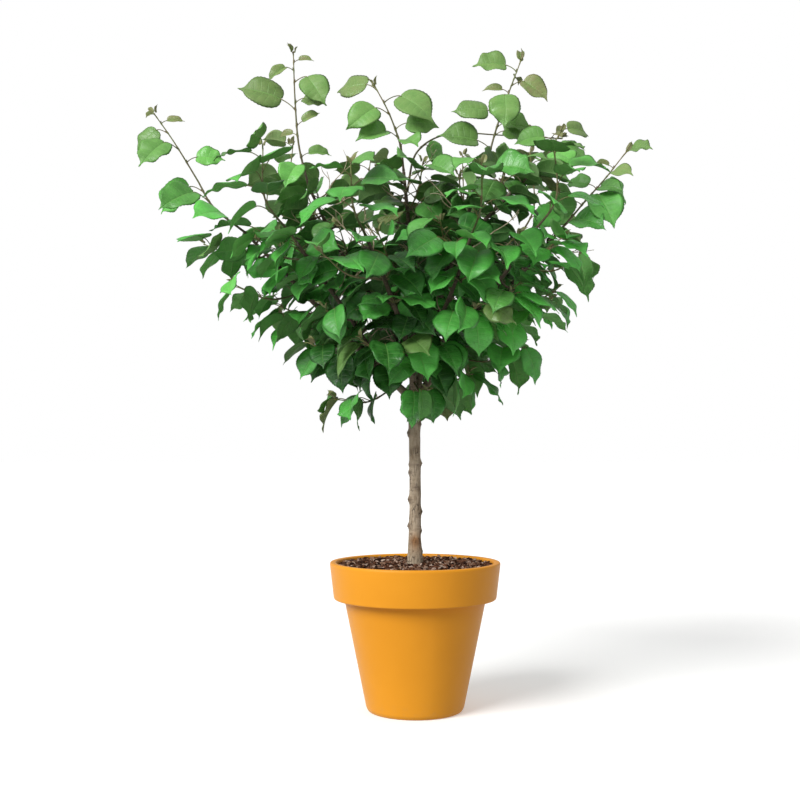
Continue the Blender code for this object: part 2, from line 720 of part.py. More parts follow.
def build_shoots(material, solids):
    """All the leafy shoots, kept clear of the wood and of each other."""
    shoots = shoot_plan()
    for _, line, foot, leaves in shoots:
        shares = stem_stations(leaves)
        centres = [along(line, share) for share in shares]
        bm = bmesh.new()
        tube(bm, centres, [stem_radius(share) + GAP for share in shares], STEM_SIDES, foot)
        solids.append(BVHTree.FromBMesh(bm))
        bm.free()
    place_leaves(shoots, solids)
    for name, line, foot, leaves in shoots:
        build_shoot(name, line, foot, leaves, material)


def main():
    """Clears the scene and builds the potted tree."""
    for thing in list(bpy.data.objects):
        bpy.data.objects.remove(thing, do_unlink=True)
    pot_plastic = make_material("pot_plastic", (0.85, 0.36, 0.03), 0.45)
    growing_medium = make_material("growing_medium", (0.045, 0.028, 0.020), 0.95)
    bark = make_material("bark", (0.26, 0.19, 0.13), 0.85)
    foliage = make_material("foliage", (0.06, 0.20, 0.045), 0.45)
    build_pot(pot_plastic)
    build_soil(growing_medium)
    solids = build_wood(bark)
    build_shoots(foliage, solids)


main()
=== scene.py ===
"""The potted apricot tree as it looks: leaves, stems, bark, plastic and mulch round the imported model.

Units are metres, +Z is up and -Y is the front. The plan of the tree is the same as the CAD's.
"""
import math
import random

import bmesh
import bpy
import numpy as np
from mathutils import Matrix, Vector, noise
from mathutils.bvhtree import BVHTree
from mathutils.kdtree import KDTree


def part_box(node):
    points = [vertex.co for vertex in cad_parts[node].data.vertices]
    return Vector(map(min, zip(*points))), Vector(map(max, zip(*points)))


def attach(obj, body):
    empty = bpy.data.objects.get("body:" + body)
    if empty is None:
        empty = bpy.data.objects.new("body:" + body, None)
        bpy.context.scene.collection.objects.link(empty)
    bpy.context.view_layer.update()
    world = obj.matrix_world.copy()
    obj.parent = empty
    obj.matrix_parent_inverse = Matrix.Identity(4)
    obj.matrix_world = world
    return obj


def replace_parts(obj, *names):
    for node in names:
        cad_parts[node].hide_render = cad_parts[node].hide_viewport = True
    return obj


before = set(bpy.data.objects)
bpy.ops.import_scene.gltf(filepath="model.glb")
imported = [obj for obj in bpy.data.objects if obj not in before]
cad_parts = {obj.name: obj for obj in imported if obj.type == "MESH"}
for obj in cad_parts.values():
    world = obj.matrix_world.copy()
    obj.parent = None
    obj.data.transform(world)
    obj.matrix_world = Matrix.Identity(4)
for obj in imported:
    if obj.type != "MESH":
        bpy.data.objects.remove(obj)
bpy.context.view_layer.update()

# Light and camera
WHITE = (1, 1, 1, 1)
SKY_LIGHT = 0.55
GROUND_LIGHT = 0.48
SKY_SPAN = (-0.5, 0.7)             # the slopes between which the ground's light turns into the sky's
KEY_LIGHT = 3.0
KEY_SPREAD = 30                    # degrees across
KEY_FROM = (226, 35)               # compass heading and height of the light
FLOOR_GLOW = 0.24
FLOOR_REACH = 30.0
FLOOR_DROP = 0.0004                # how far the floor lies below the pot's foot
CAMERA_PLACE = (-0.0266, -1.97, 0.46)
CAMERA_TILT = 92.4                 # degrees from straight down
CAMERA_LENS = 50
CAMERA_SENSOR = 36
CAMERA_RANGE = (0.05, 200)

# Colours, and the leaves and chips that only the visual model has
POT_BRIGHT = (0.820, 0.326, 0.016)
POT_DEEP = (0.780, 0.305, 0.014)
LEAF_DARK = (0.014, 0.105, 0.013)
LEAF_LIGHT = (0.165, 0.780, 0.120)
LEAF_YOUNG = (0.340, 0.275, 0.135)
LEAF_VEIN = (0.300, 0.640, 0.160)
UNDER_DARK = (0.050, 0.170, 0.040)
UNDER_LIGHT = (0.225, 0.560, 0.150)
UNDER_YOUNG = (0.330, 0.270, 0.150)
UNDER_VEIN = (0.340, 0.520, 0.200)
CHIP_COUNT = 1500
SPUR_SPACING = 0.034
SPUR_LEAVES = (3, 4, 5)
SPUR_CLEARANCE = 0.0010
SAME_PLACE = 0.0004                # a blade tip this near to a point of the CAD piece is that leaf's

GAP = 0.0003                       # between two pieces that touch

# Pot: a tapered body under a deep rim band
POT_HEIGHT = 0.258
RIM_RADIUS = 0.150
RIM_FOOT_RADIUS = 0.143
RIM_BAND_HEIGHT = 0.064
BODY_TOP_RADIUS = 0.1245
BODY_FOOT_RADIUS = 0.086
WALL = 0.005
LIP_THICKNESS = 0.012
FOOT_ROUNDING = 0.006
FLOOR = 0.006
DRAIN_RADIUS = 0.008
DRAIN_CIRCLE_RADIUS = 0.048
DRAIN_COUNT = 4

# Growing medium
SOIL_LEVEL = 0.2515                # at the pot's wall
SOIL_MOUND = 0.002                 # how much higher it lies round the trunk

# Trunk: centre line and radius from its foot in the medium up to the head where the branches part
TRUNK_LINE = (
    # x, y, z, radius
    (0.0000, 0.000, 0.195, 0.0130),
    (0.0000, 0.000, 0.240, 0.0150),
    (0.0000, 0.000, 0.256, 0.0145),
    (-0.0005, 0.000, 0.300, 0.0112),
    (0.0005, 0.001, 0.350, 0.0104),
    (0.0000, 0.000, 0.420, 0.0103),
    (-0.0010, -0.001, 0.490, 0.0104),
    (-0.0010, 0.000, 0.525, 0.0125),
    (0.0000, 0.000, 0.552, 0.0130),
    (0.0000, 0.000, 0.572, 0.0085),
)
BRANCH_STEPS = 5
BRANCH_END_RADIUS = 0.0028

# Branches: parent (None is the trunk's head), where along it they fork, their radius there, and
# the points that they grow through
BRANCHES = {
    "left": (None, 0, 0.0068, ((-0.002, 0.000, 0.540), (-0.090, -0.012, 0.625),
                               (-0.200, -0.018, 0.735), (-0.300, -0.015, 0.838))),
    "right": (None, 0, 0.0066, ((0.002, 0.000, 0.548), (0.080, -0.010, 0.640),
                                (0.170, -0.014, 0.745), (0.250, -0.012, 0.835))),
    "front": (None, 0, 0.0062, ((0.000, -0.002, 0.544), (-0.012, -0.080, 0.625),
                                (-0.045, -0.165, 0.715), (-0.080, -0.235, 0.790))),
    "back": (None, 0, 0.0064, ((0.000, 0.002, 0.546), (0.015, 0.085, 0.640),
                               (-0.015, 0.175, 0.755), (-0.065, 0.250, 0.865))),
    "centre": (None, 0, 0.0070, ((0.000, 0.000, 0.552), (-0.014, 0.006, 0.690),
                                 (-0.010, 0.012, 0.830), (-0.020, 0.010, 0.955))),
    "reach": (None, 0, 0.0056, ((0.001, -0.001, 0.556), (0.030, -0.038, 0.660), (0.065, -0.060, 0.780),
                                (0.140, -0.066, 0.872), (0.222, -0.060, 0.950))),
    "upper_left": ("centre", 0.14, 0.0050, ((-0.065, 0.030, 0.710), (-0.135, 0.030, 0.815),
                                            (-0.190, 0.005, 0.925))),
    "upper_right": ("centre", 0.22, 0.0048, ((0.040, 0.018, 0.745), (0.080, 0.000, 0.840),
                                             (0.118, -0.018, 0.930))),
    "left_front": ("left", 0.22, 0.0046, ((-0.105, -0.075, 0.670), (-0.160, -0.140, 0.745),
                                          (-0.205, -0.190, 0.805))),
    "left_back": ("left", 0.30, 0.0046, ((-0.135, 0.060, 0.700), (-0.180, 0.120, 0.790),
                                         (-0.215, 0.165, 0.875))),
    "front_right": ("front", 0.22, 0.0044, ((0.035, -0.105, 0.665), (0.065, -0.170, 0.730),
                                            (0.085, -0.228, 0.790))),
    "right_front": ("right", 0.24, 0.0044, ((0.105, -0.080, 0.690), (0.150, -0.130, 0.750),
                                            (0.190, -0.168, 0.808))),
    "right_back": ("right", 0.30, 0.0046, ((0.130, 0.060, 0.710), (0.170, 0.115, 0.790),
                                           (0.205, 0.160, 0.865))),
    "back_right": ("back", 0.26, 0.0046, ((0.060, 0.130, 0.705), (0.085, 0.190, 0.790),
                                          (0.095, 0.245, 0.870))),
}

# Leaves
PETIOLE_SHARE = 0.40               # stalk length over blade length
PETIOLE_RISE = 32                  # degrees above level
PETIOLE_HALF = 0.0009
BLADE_HALF_THICKNESS = 0.0008
BLADE_WIDTH_SHARE = 0.84           # blade width over blade length, full grown
YOUNG_LENGTH = 0.045               # blades shorter than this are narrower
YOUNG_WIDTH_SHARE = 0.56
BLADE_CURL = 38                    # degrees that the blade's midrib turns down from base to tip
BLADE_FOLD = 0.20                  # rise of the margins over their distance from the midrib
BLADE_STATIONS = ((0.12, 0.76), (0.50, 0.93))   # share of the length, share of the half width
LEAF_TRIES = 14
GOLDEN_ANGLE = 137.5
NODE_HALF = 0.0016                 # half height of the swelling where a leaf stalk leaves the stem

# Stems
LEADING_STEM_RADIUS = 0.0021       # at the foot
SIDE_STEM_RADIUS = 0.0018
STEM_TIP_RADIUS = 0.0009
STEM_TAPER = 0.0011                # how much thinner a stem is at its tip, where a stalk leaves it
SPUR_RADII = (0.0017, 0.0015)      # foot and tip
TWIG_RADII = (0.00125, 0.00045)
SIDE_TWIG_RADII = (0.0007, 0.00035)

# Leading shoots, one on each branch end: the points that the stem grows through after the branch end,
# and its leaves as (place along the stem, compass heading, droop below level, blade length), with
# headings in degrees anticlockwise from +X. Their upper sides face the front.
LEADERS = {
    "left": (((-0.358, -0.012, 0.885), (-0.388, -0.010, 0.935), (-0.428, -0.008, 1.000),
              (-0.465, -0.006, 1.053)),
             ((0.10, 200, 0, 0.074), (0.31, 184, 14, 0.080), (0.40, 165, 38, 0.074), (0.62, 8, 5, 0.052),
              (0.71, 218, 48, 0.072), (0.84, 192, 40, 0.056), (0.92, 5, 5, 0.032), (0.98, 185, 8, 0.024))),
    "upper_left": (((-0.208, 0.000, 1.000), (-0.215, -0.002, 1.085), (-0.218, -0.004, 1.165)),
                   ((0.13, 235, 55, 0.060), (0.24, 10, 5, 0.042), (0.40, 175, 0, 0.030),
                    (0.47, 5, -25, 0.036), (0.58, 177, -14, 0.084), (0.63, -12, 22, 0.046),
                    (0.78, -25, 56, 0.070), (0.87, 190, 42, 0.042), (0.93, 0, 6, 0.028),
                    (0.99, 205, -55, 0.018))),
    "centre": (((-0.026, 0.002, 1.000), (-0.046, -0.006, 1.055), (-0.070, -0.012, 1.100)),
               ((0.32, 300, 28, 0.052), (0.42, 196, 24, 0.062), (0.50, -4, 10, 0.060),
                (0.66, 200, 42, 0.072), (0.80, -12, 40, 0.082), (0.97, 178, -6, 0.070))),
    "upper_right": (((0.132, -0.022, 0.980), (0.147, -0.024, 1.032), (0.166, -0.026, 1.086),
                     (0.187, -0.026, 1.142)),
                    ((0.28, 184, -3, 0.074), (0.40, 0, 22, 0.048), (0.47, 12, 14, 0.046),
                     (0.55, 180, 4, 0.066), (0.68, 262, 72, 0.072), (0.75, 176, 4, 0.036),
                     (0.81, -6, 42, 0.058), (0.86, 30, -12, 0.034), (0.92, 182, 2, 0.060),
                     (0.99, 50, -66, 0.030))),
    "right": (((0.279, -0.010, 0.868), (0.306, -0.008, 0.900), (0.338, -0.006, 0.936),
               (0.376, -0.004, 0.984)),
              ((0.10, -8, 14, 0.072), (0.26, 172, 30, 0.060), (0.42, 150, 20, 0.055), (0.48, -18, 52, 0.078),
               (0.58, 0, 0, 0.050), (0.64, 140, -8, 0.048), (0.71, -5, 22, 0.060), (0.78, 8, -5, 0.045),
               (0.86, 178, -10, 0.026), (0.98, 0, -6, 0.046))),
    "reach": (((0.238, -0.062, 0.980), (0.252, -0.064, 1.006)),
              ((0.16, 305, 34, 0.060), (0.42, -5, 12, 0.056), (0.66, 172, 12, 0.054), (0.98, 20, 8, 0.050))),
}

# A long bare whip that leaves the middle branch, as a leading shoot with its branch and place first
WHIP = ("centre", 0.90, ((0.004, 0.032, 0.995), (0.062, 0.036, 1.030), (0.160, 0.030, 1.026),
                         (0.264, 0.020, 1.017)),
        ((0.30, 20, 20, 0.056), (0.90, 175, -30, 0.030), (0.96, 350, 4, 0.032), (0.99, 70, -50, 0.030)))

# Plain leading shoots: how far the stem goes on, how much of that is straight up, and its leaf count
PLAIN_LEADERS = {
    "front": (0.115, 0.45, 6),
    "back": (0.190, 0.70, 8),
    "left_front": (0.140, 0.50, 7),
    "left_back": (0.180, 0.65, 8),
    "front_right": (0.115, 0.50, 6),
    "right_front": (0.135, 0.55, 7),
    "right_back": (0.175, 0.65, 8),
    "back_right": (0.185, 0.70, 8),
}

# Side shoots: branch, place along it, compass heading, rise above level, stem length, leaf count
SIDE_SHOOTS = (
    ("left", 0.12, 212, -18, 0.125, 7),
    ("left", 0.34, 228, -4, 0.120, 6),
    ("left", 0.50, 150, 8, 0.120, 6),
    ("left", 0.66, 205, 0, 0.130, 6),
    ("left", 0.80, 112, 48, 0.110, 6),
    ("left", 0.92, 192, -2, 0.095, 6),
    ("right", 0.12, 318, 2, 0.085, 6),
    ("right", 0.27, 335, 4, 0.130, 7),
    ("right", 0.44, 312, -2, 0.115, 6),
    ("right", 0.60, 20, 8, 0.110, 6),
    ("right", 0.78, 330, 2, 0.100, 6),
    ("front", 0.13, 285, -22, 0.080, 6),
    ("front", 0.38, 232, -6, 0.110, 6),
    ("front", 0.74, 205, 18, 0.110, 6),
    ("front_right", 0.45, 300, -6, 0.090, 6),
    ("front_right", 0.80, 350, 24, 0.100, 6),
    ("left_front", 0.42, 250, -8, 0.090, 6),
    ("left_front", 0.78, 180, 20, 0.095, 6),
    ("right_front", 0.45, 290, -8, 0.095, 6),
    ("right_front", 0.80, 10, 22, 0.090, 6),
    ("back", 0.14, 75, -12, 0.110, 6),
    ("back", 0.42, 120, -4, 0.120, 6),
    ("back", 0.72, 60, 28, 0.110, 6),
    ("left_back", 0.40, 165, 0, 0.120, 6),
    ("left_back", 0.76, 95, 30, 0.110, 6),
    ("right_back", 0.40, 20, 0, 0.120, 6),
    ("right_back", 0.76, 85, 30, 0.110, 6),
    ("back_right", 0.45, 50, 0, 0.110, 6),
    ("centre", 0.50, 235, 38, 0.110, 6),
    ("centre", 0.62, 60, 44, 0.120, 6),
    ("centre", 0.80, 290, 52, 0.100, 6),
    ("upper_left", 0.55, 250, 34, 0.110, 6),
    ("upper_left", 0.80, 130, 44, 0.110, 6),
    ("upper_right", 0.52, 40, 36, 0.110, 6),
    ("upper_right", 0.82, 100, 50, 0.100, 6),
    ("reach", 0.50, 255, 24, 0.110, 6),
    ("reach", 0.74, 285, 30, 0.100, 6),
)


# ------------------------------------------------------------------ directions and curves

def heading_vector(heading, rise):
    """The unit vector at a compass heading and a rise above level, both in degrees."""
    turn = math.radians(heading)
    lift = math.radians(rise)
    return Vector((math.cos(turn) * math.cos(lift), math.sin(turn) * math.cos(lift), math.sin(lift)))


def compass(vector):
    """The compass heading of a vector, in degrees."""
    return math.degrees(math.atan2(vector.y, vector.x))


def along(points, share):
    """The point at a share of a smooth curve that passes through all the points."""
    reach = share * (len(points) - 1)
    i = min(int(reach), len(points) - 2)
    s = reach - i
    p1 = points[i]
    p2 = points[i + 1]
    p0 = points[i - 1] if i > 0 else p1 * 2 - p2
    p3 = points[i + 2] if i + 2 < len(points) else p2 * 2 - p1
    bend = p0 * 2 - p1 * 5 + p2 * 4 - p3
    twist = p1 * 3 - p0 - p2 * 3 + p3
    return (p1 * 2 + (p2 - p0) * s + bend * s * s + twist * s * s * s) / 2


def curve_length(points):
    """The curve's length, by twelve chords."""
    return sum((along(points, (k + 1) / 12) - along(points, k / 12)).length for k in range(12))


def clamp(value):
    """The value, kept between 0 and 1."""
    return max(0.0, min(1.0, value))


def direction_along(points, share):
    """The curve's direction at a share of it."""
    step = 0.01
    return (along(points, min(share + step, 1)) - along(points, max(share - step, 0))).normalized()


# ------------------------------------------------------------------ the plan of the tree

def branch_line(name):
    """The points that a branch grows through, from its fork."""
    parent, fork, _, points = BRANCHES[name]
    line = [Vector(p) for p in points]
    if parent:
        line.insert(0, along(branch_line(parent), fork))
    return line


def branch_radius(name, share):
    """A branch's radius at a share of its length."""
    base = BRANCHES[name][2]
    return base + (BRANCH_END_RADIUS - base) * share


def outward(point):
    """The level direction away from the trunk's axis."""
    level = Vector((point.x, point.y, 0))
    return level.normalized() if level.length > 0.01 else Vector((0, -1, 0))


def leader_line(name):
    """The stem's points for the shoot that goes on from a branch end."""
    line = branch_line(name)
    end = line[-1]
    onward = direction_along(line, 1)
    start = end + onward * GAP
    if name in LEADERS:
        return [start] + [Vector(p) for p in LEADERS[name][0]]
    length, upright, _ = PLAIN_LEADERS[name]
    tip = start + (onward * (1 - upright) + Vector((0, 0, upright))).normalized() * length
    return [start, start + onward * length * 0.5, tip]


def side_foot(branch, share, way):
    """Where a shoot that heads that way stands on the side of a branch, and the way its foot faces."""
    line = branch_line(branch)
    step = min(int(share * BRANCH_STEPS), BRANCH_STEPS - 1)
    below = along(line, step / BRANCH_STEPS)
    above = along(line, (step + 1) / BRANCH_STEPS)
    axis = (above - below).normalized()
    side = (way - axis * way.dot(axis)).normalized()
    centre = below + (above - below) * (share * BRANCH_STEPS - step)
    return centre + side * (branch_radius(branch, share) + GAP), side


def side_line(branch, share, heading, rise, length):
    """The stem's points for a shoot that leaves the side of a branch and turns up towards its tip."""
    way = heading_vector(heading, rise)
    start, side = side_foot(branch, share, way)
    middle = start + (side * 0.35 + way * 0.65).normalized() * length * 0.5
    tip = middle + (way + Vector((0, 0, 0.35))).normalized() * length * 0.5
    return [start, middle, tip]


def faced_leaf(place, heading, droop, length):
    """A leaf whose upper side faces the front and up."""
    return {"place": place, "heading": heading, "droop": droop, "length": length, "facing": -90, "tilt": 62}


def grown_leaves(name, line, count):
    """Leaves set round a stem by the golden angle, turned and tilted towards the light outside the crown."""
    rng = random.Random(name)
    turn = rng.uniform(0, 360)
    leaves = []
    for i in range(count):
        place = 0.24 + 0.76 * (i + 0.85) / count
        point = along(line, min(place, 0.985))
        light = outward(point)
        around = heading_vector(turn + i * GOLDEN_ANGLE, 0)
        heading = compass(around * 0.75 + light * 0.75) + rng.uniform(-14, 14)
        low = clamp((0.86 - point.z) / 0.28)
        droop = 10 + 42 * low + rng.uniform(-16, 26)
        length = rng.uniform(0.056, 0.078) if i < count - 1 else rng.uniform(0.044, 0.062)
        leaves.append({"place": min(place, 0.985), "heading": heading, "droop": droop, "length": length,
                       "facing": compass(light) + rng.uniform(-60, 60), "tilt": rng.uniform(8, 64)})
    return leaves


def set_nodes(line, leaves):
    """Orders the leaves up the stem and spaces them so that each has room for its node."""
    length = curve_length(line)
    half = NODE_HALF / length
    leaves.sort(key=lambda leaf: leaf["place"])
    last = 0.0
    for leaf in leaves:
        leaf["place"] = max(leaf["place"], last + half * 1.6)
        last = leaf["place"] + half
    overrun = max(0.0, last + half * 0.5 - 1.0)
    for leaf in leaves:
        leaf["place"] -= overrun


def shoot_plan():
    """Every leafy shoot as (name, stem points, leaves)."""
    shoots = []
    for name in BRANCHES:
        line = leader_line(name)
        title = f"leading_shoot_{name}"
        if name in LEADERS:
            leaves = [faced_leaf(*leaf) for leaf in LEADERS[name][1]]
        else:
            leaves = grown_leaves(title, line, PLAIN_LEADERS[name][2])
        set_nodes(line, leaves)
        shoots.append((title, line, leaves))
    branch, share, points, leaves = WHIP
    points = [Vector(point) for point in points]
    start, _ = side_foot(branch, share, points[0] - along(branch_line(branch), share))
    line = [start] + points
    leaves = [faced_leaf(*leaf) for leaf in leaves]
    set_nodes(line, leaves)
    shoots.append(("whip_shoot", line, leaves))
    for number, (branch, share, heading, rise, length, count) in enumerate(SIDE_SHOOTS, 1):
        title = f"side_shoot_{number:02d}"
        line = side_line(branch, share, heading, rise, length)
        leaves = grown_leaves(title, line, count)
        set_nodes(line, leaves)
        shoots.append((title, line, leaves))
    return shoots


def leaf_try(leaf, attempt):
    """The leaf's attitude at one attempt: attempt 0 is as planned, later ones turn and droop more."""
    swing = (attempt + 1) // 2 * 11 * (-1 if attempt % 2 else 1)
    return {**leaf, "heading": leaf["heading"] + swing, "droop": leaf["droop"] + (attempt // 3) * 8}


def blade_base(leaf, stem_point):
    """Where the leaf's stalk ends and its blade begins."""
    stalk = heading_vector(leaf["heading"], PETIOLE_RISE - leaf["droop"] * 0.35)
    return stem_point + stalk * leaf["length"] * PETIOLE_SHARE


def blade_axes(leaf):
    """The blade's length direction, its upper side's normal and its width direction."""
    length_way = heading_vector(leaf["heading"], -leaf["droop"])
    face = heading_vector(leaf["facing"], 90 - leaf["tilt"])
    normal = face - length_way * face.dot(length_way)
    if normal.length < 0.2:
        normal = heading_vector(leaf["heading"], 90 - leaf["droop"])
    normal.normalize()
    return length_way, normal, normal.cross(length_way)


def blade_point(base, axes, length, share):
    """A point of the midrib at a share of the blade's length, and the upper normal there."""
    length_way, normal, _ = axes
    curl = math.radians(BLADE_CURL)
    first = -curl / 2
    here = first + curl * share
    forward = (math.sin(here) - math.sin(first)) / curl
    down = (math.cos(here) - math.cos(first)) / curl
    point = base + (length_way * forward + normal * down) * length
    return point, normal * math.cos(here) + length_way * math.sin(here)


def blade_half_width(length):
    """Half the greatest width of a blade of this length."""
    share = BLADE_WIDTH_SHARE if length >= YOUNG_LENGTH else YOUNG_WIDTH_SHARE
    return length * share / 2


def stalk_end_ring(base, axes, stalk, length, grow):
    """The ring where a stalk meets its blade, square to the way between the two."""
    _, normal = blade_point(base, axes, length, 0.0)
    width_way = axes[2]
    way = (stalk.normalized() + width_way.cross(normal)).normalized()
    up = (normal - way * normal.dot(way)).normalized()
    side = up.cross(way)
    reach = PETIOLE_HALF + grow
    return [base + side * reach, base + up * reach, base - side * reach, base - up * reach]


def blade_rings(leaf, stem_point, grow=0.0):
    """The four-point rings of the leaf from the end of its stalk to its last station, and its tip."""
    base = blade_base(leaf, stem_point)
    axes = blade_axes(leaf)
    width_way = axes[2]
    length = leaf["length"]
    half = blade_half_width(length)
    rings = [stalk_end_ring(base, axes, base - stem_point, length, grow)]
    for share, part in BLADE_STATIONS:
        point, normal = blade_point(base, axes, length, share)
        reach = half * part
        lift = normal * reach * BLADE_FOLD
        reach += grow
        thick = normal * (BLADE_HALF_THICKNESS + grow)
        rings.append([point + width_way * reach + lift, point + thick,
                      point - width_way * reach + lift, point - thick])
    tip, _ = blade_point(base, axes, length + grow, 1.0)
    return rings, tip


def leaf_solid(leaf, stem_point, grow):
    """A search tree of one leaf, with the outer part of its stalk, grown all round."""
    rings, tip = blade_rings(leaf, stem_point, grow)
    centre = sum(rings[0], Vector()) / 4
    inner = stem_point + (centre - stem_point) * 0.25
    rings.insert(0, [inner + (point - centre) for point in rings[0]])
    points = [point for ring in rings for point in ring] + [tip]
    faces = []
    for i in range(len(rings) - 1):
        for k in range(4):
            following = (k + 1) % 4
            faces.append((i * 4 + k, i * 4 + following, i * 4 + 4 + following, i * 4 + 4 + k))
    last = len(rings) * 4 - 4
    faces += [(last + k, last + (k + 1) % 4, last + 4) for k in range(4)]
    return BVHTree.FromPolygons(points, faces)


# ------------------------------------------------------------------ materials

class Shader:
    """Builds one material's node tree."""

    def __init__(self, name):
        self.material = bpy.data.materials.new(name)
        self.material.use_nodes = True
        self.tree = self.material.node_tree
        self.principled = self.tree.nodes["Principled BSDF"]
        self.output = self.tree.nodes["Material Output"]

    def node(self, kind, inputs=(), **settings):
        made = self.tree.nodes.new(kind)
        for key, value in settings.items():
            setattr(made, key, value)
        for key, value in dict(inputs).items():
            self.feed(made.inputs[key], value)
        return made

    def feed(self, socket, value):
        if isinstance(value, bpy.types.NodeSocket):
            self.tree.links.new(value, socket)
        elif isinstance(value, tuple) and len(value) == 3 and socket.type == "RGBA":
            socket.default_value = (*value, 1)
        else:
            socket.default_value = value

    def attribute(self, name, output="Fac"):
        return self.node("ShaderNodeAttribute", attribute_name=name).outputs[output]

    def position(self):
        return self.node("ShaderNodeTexCoord").outputs["Object"]

    def math(self, operation, a, b=0.0, c=0.0, capped=False):
        made = self.node("ShaderNodeMath", {0: a, 1: b, 2: c}, operation=operation, use_clamp=capped)
        return made.outputs[0]

    def times(self, a, b):
        return self.math("MULTIPLY", a, b)

    def plus(self, a, b):
        return self.math("ADD", a, b)

    def scaled(self, vector, scale):
        return self.node("ShaderNodeMapping", {"Vector": vector, "Scale": scale}).outputs[0]

    def noise(self, vector, scale, detail=3.0, rough=0.55, distort=0.0):
        return self.node("ShaderNodeTexNoise", {"Vector": vector, "Scale": scale, "Detail": detail,
                                                "Roughness": rough, "Distortion": distort}).outputs["Fac"]

    def cells(self, vector, scale, feature="DISTANCE_TO_EDGE"):
        return self.node("ShaderNodeTexVoronoi", {"Vector": vector, "Scale": scale},
                         feature=feature).outputs["Distance"]

    def span(self, value, low, high, start=0.0, end=1.0, kind="SMOOTHSTEP"):
        return self.node("ShaderNodeMapRange", {"Value": value, "From Min": low, "From Max": high,
                                                "To Min": start, "To Max": end},
                         interpolation_type=kind).outputs[0]

    def mix(self, share, a, b):
        made = self.node("ShaderNodeMix", data_type="RGBA")
        self.feed(made.inputs[0], share)
        self.feed(made.inputs[6], a)
        self.feed(made.inputs[7], b)
        return made.outputs[2]

    def bump(self, height, distance, strength=1.0):
        return self.node("ShaderNodeBump", {"Height": height, "Distance": distance,
                                            "Strength": strength}).outputs[0]

    def surface(self, colour, roughness, normal=None, specular=0.5):
        self.feed(self.principled.inputs["Base Color"], colour)
        self.feed(self.principled.inputs["Roughness"], roughness)
        self.principled.inputs["Specular IOR Level"].default_value = specular
        if normal is not None:
            self.feed(self.principled.inputs["Normal"], normal)
        return self.material

    def see_light_through(self, colour, share, normal):
        """Lets some light through the surface, spread and tinted."""
        through = self.node("ShaderNodeBsdfTranslucent", {"Color": colour, "Normal": normal})
        mixed = self.node("ShaderNodeMixShader", {0: share, 1: self.principled.outputs[0],
                                                  2: through.outputs[0]})
        self.tree.links.new(mixed.outputs[0], self.output.inputs["Surface"])


def leaf_material(name, dark, light, young, vein, gloss, relief, vein_share):
    """A leaf's surface: midrib and side veins, a fine net between them, tones from leaf to leaf."""
    s = Shader(name)
    place = s.attribute("leaf_place", "Vector")
    parts = s.node("ShaderNodeSeparateXYZ", {0: place})
    up, across, length = parts.outputs
    side = s.math("ABSOLUTE", across)
    # the leaf's tone, which also holds painted shade inside the crown and low on the left of the front
    tone = s.attribute("leaf_tone_and_shade")
    age = s.attribute("leaf_age")
    halved = s.math("MULTIPLY_ADD", s.math("SIGN", across), 0.21, s.times(up, SIDE_VEINS))
    off_vein = s.math("PINGPONG", halved, 0.5)
    side_vein = s.span(off_vein, 0.0, 0.085, 1.0, 0.0)
    side_vein = s.times(side_vein, s.span(side, 0.3, 1.0, 0.75, 0.15))
    midrib = s.span(side, 0.018, 0.055, 1.0, 0.0)
    veins = s.math("MAXIMUM", midrib, side_vein)
    sheet = s.node("ShaderNodeCombineXYZ", {"X": s.times(up, length),
                                            "Y": s.times(s.times(across, length), 0.42),
                                            "Z": s.times(tone, 3.0)}).outputs[0]
    net = s.span(s.cells(sheet, 330.0), 0.0, 0.12, 1.0, 0.0)
    blotch = s.noise(sheet, 55.0, 3.0)
    mottle = s.noise(s.position(), 420.0, 2.0)
    shade = s.math("ADD", tone, s.span(blotch, 0.3, 0.7, -0.14, 0.14, "LINEAR"), capped=True)
    colour = s.mix(shade, dark, light)
    colour = s.mix(s.times(age, s.span(blotch, 0.2, 0.8, 0.65, 1.0)), colour, young)
    colour = s.mix(s.times(veins, vein_share), colour, vein)
    colour = s.mix(s.times(net, 0.10), colour, vein)
    colour = s.mix(s.span(mottle, 0.3, 0.7, 0.0, 0.12), colour, (0.02, 0.05, 0.015))
    speck = s.times(s.span(s.noise(sheet, 150.0, 2.0), 0.70, 0.76), s.span(side, 0.5, 0.95))
    colour = s.mix(s.times(speck, 0.7), colour, (0.20, 0.13, 0.04))
    height = s.math("SUBTRACT", s.times(blotch, 0.5),
                    s.plus(s.times(veins, relief), s.times(net, 0.22 * relief)))
    normal = s.bump(height, 0.0009, 0.55)
    polish = s.times(s.math("FRACT", s.times(tone, 17.3)), 0.20)
    rough = s.plus(s.span(blotch, 0.3, 0.7, gloss - 0.06, gloss + 0.08),
                   s.plus(s.times(veins, 0.10), polish))
    s.surface(colour, rough, normal, 0.5)
    glow = s.mix(0.5, colour, (0.42, 0.80, 0.10))
    s.see_light_through(glow, LEAF_LIGHT_THROUGH, normal)
    return s.material


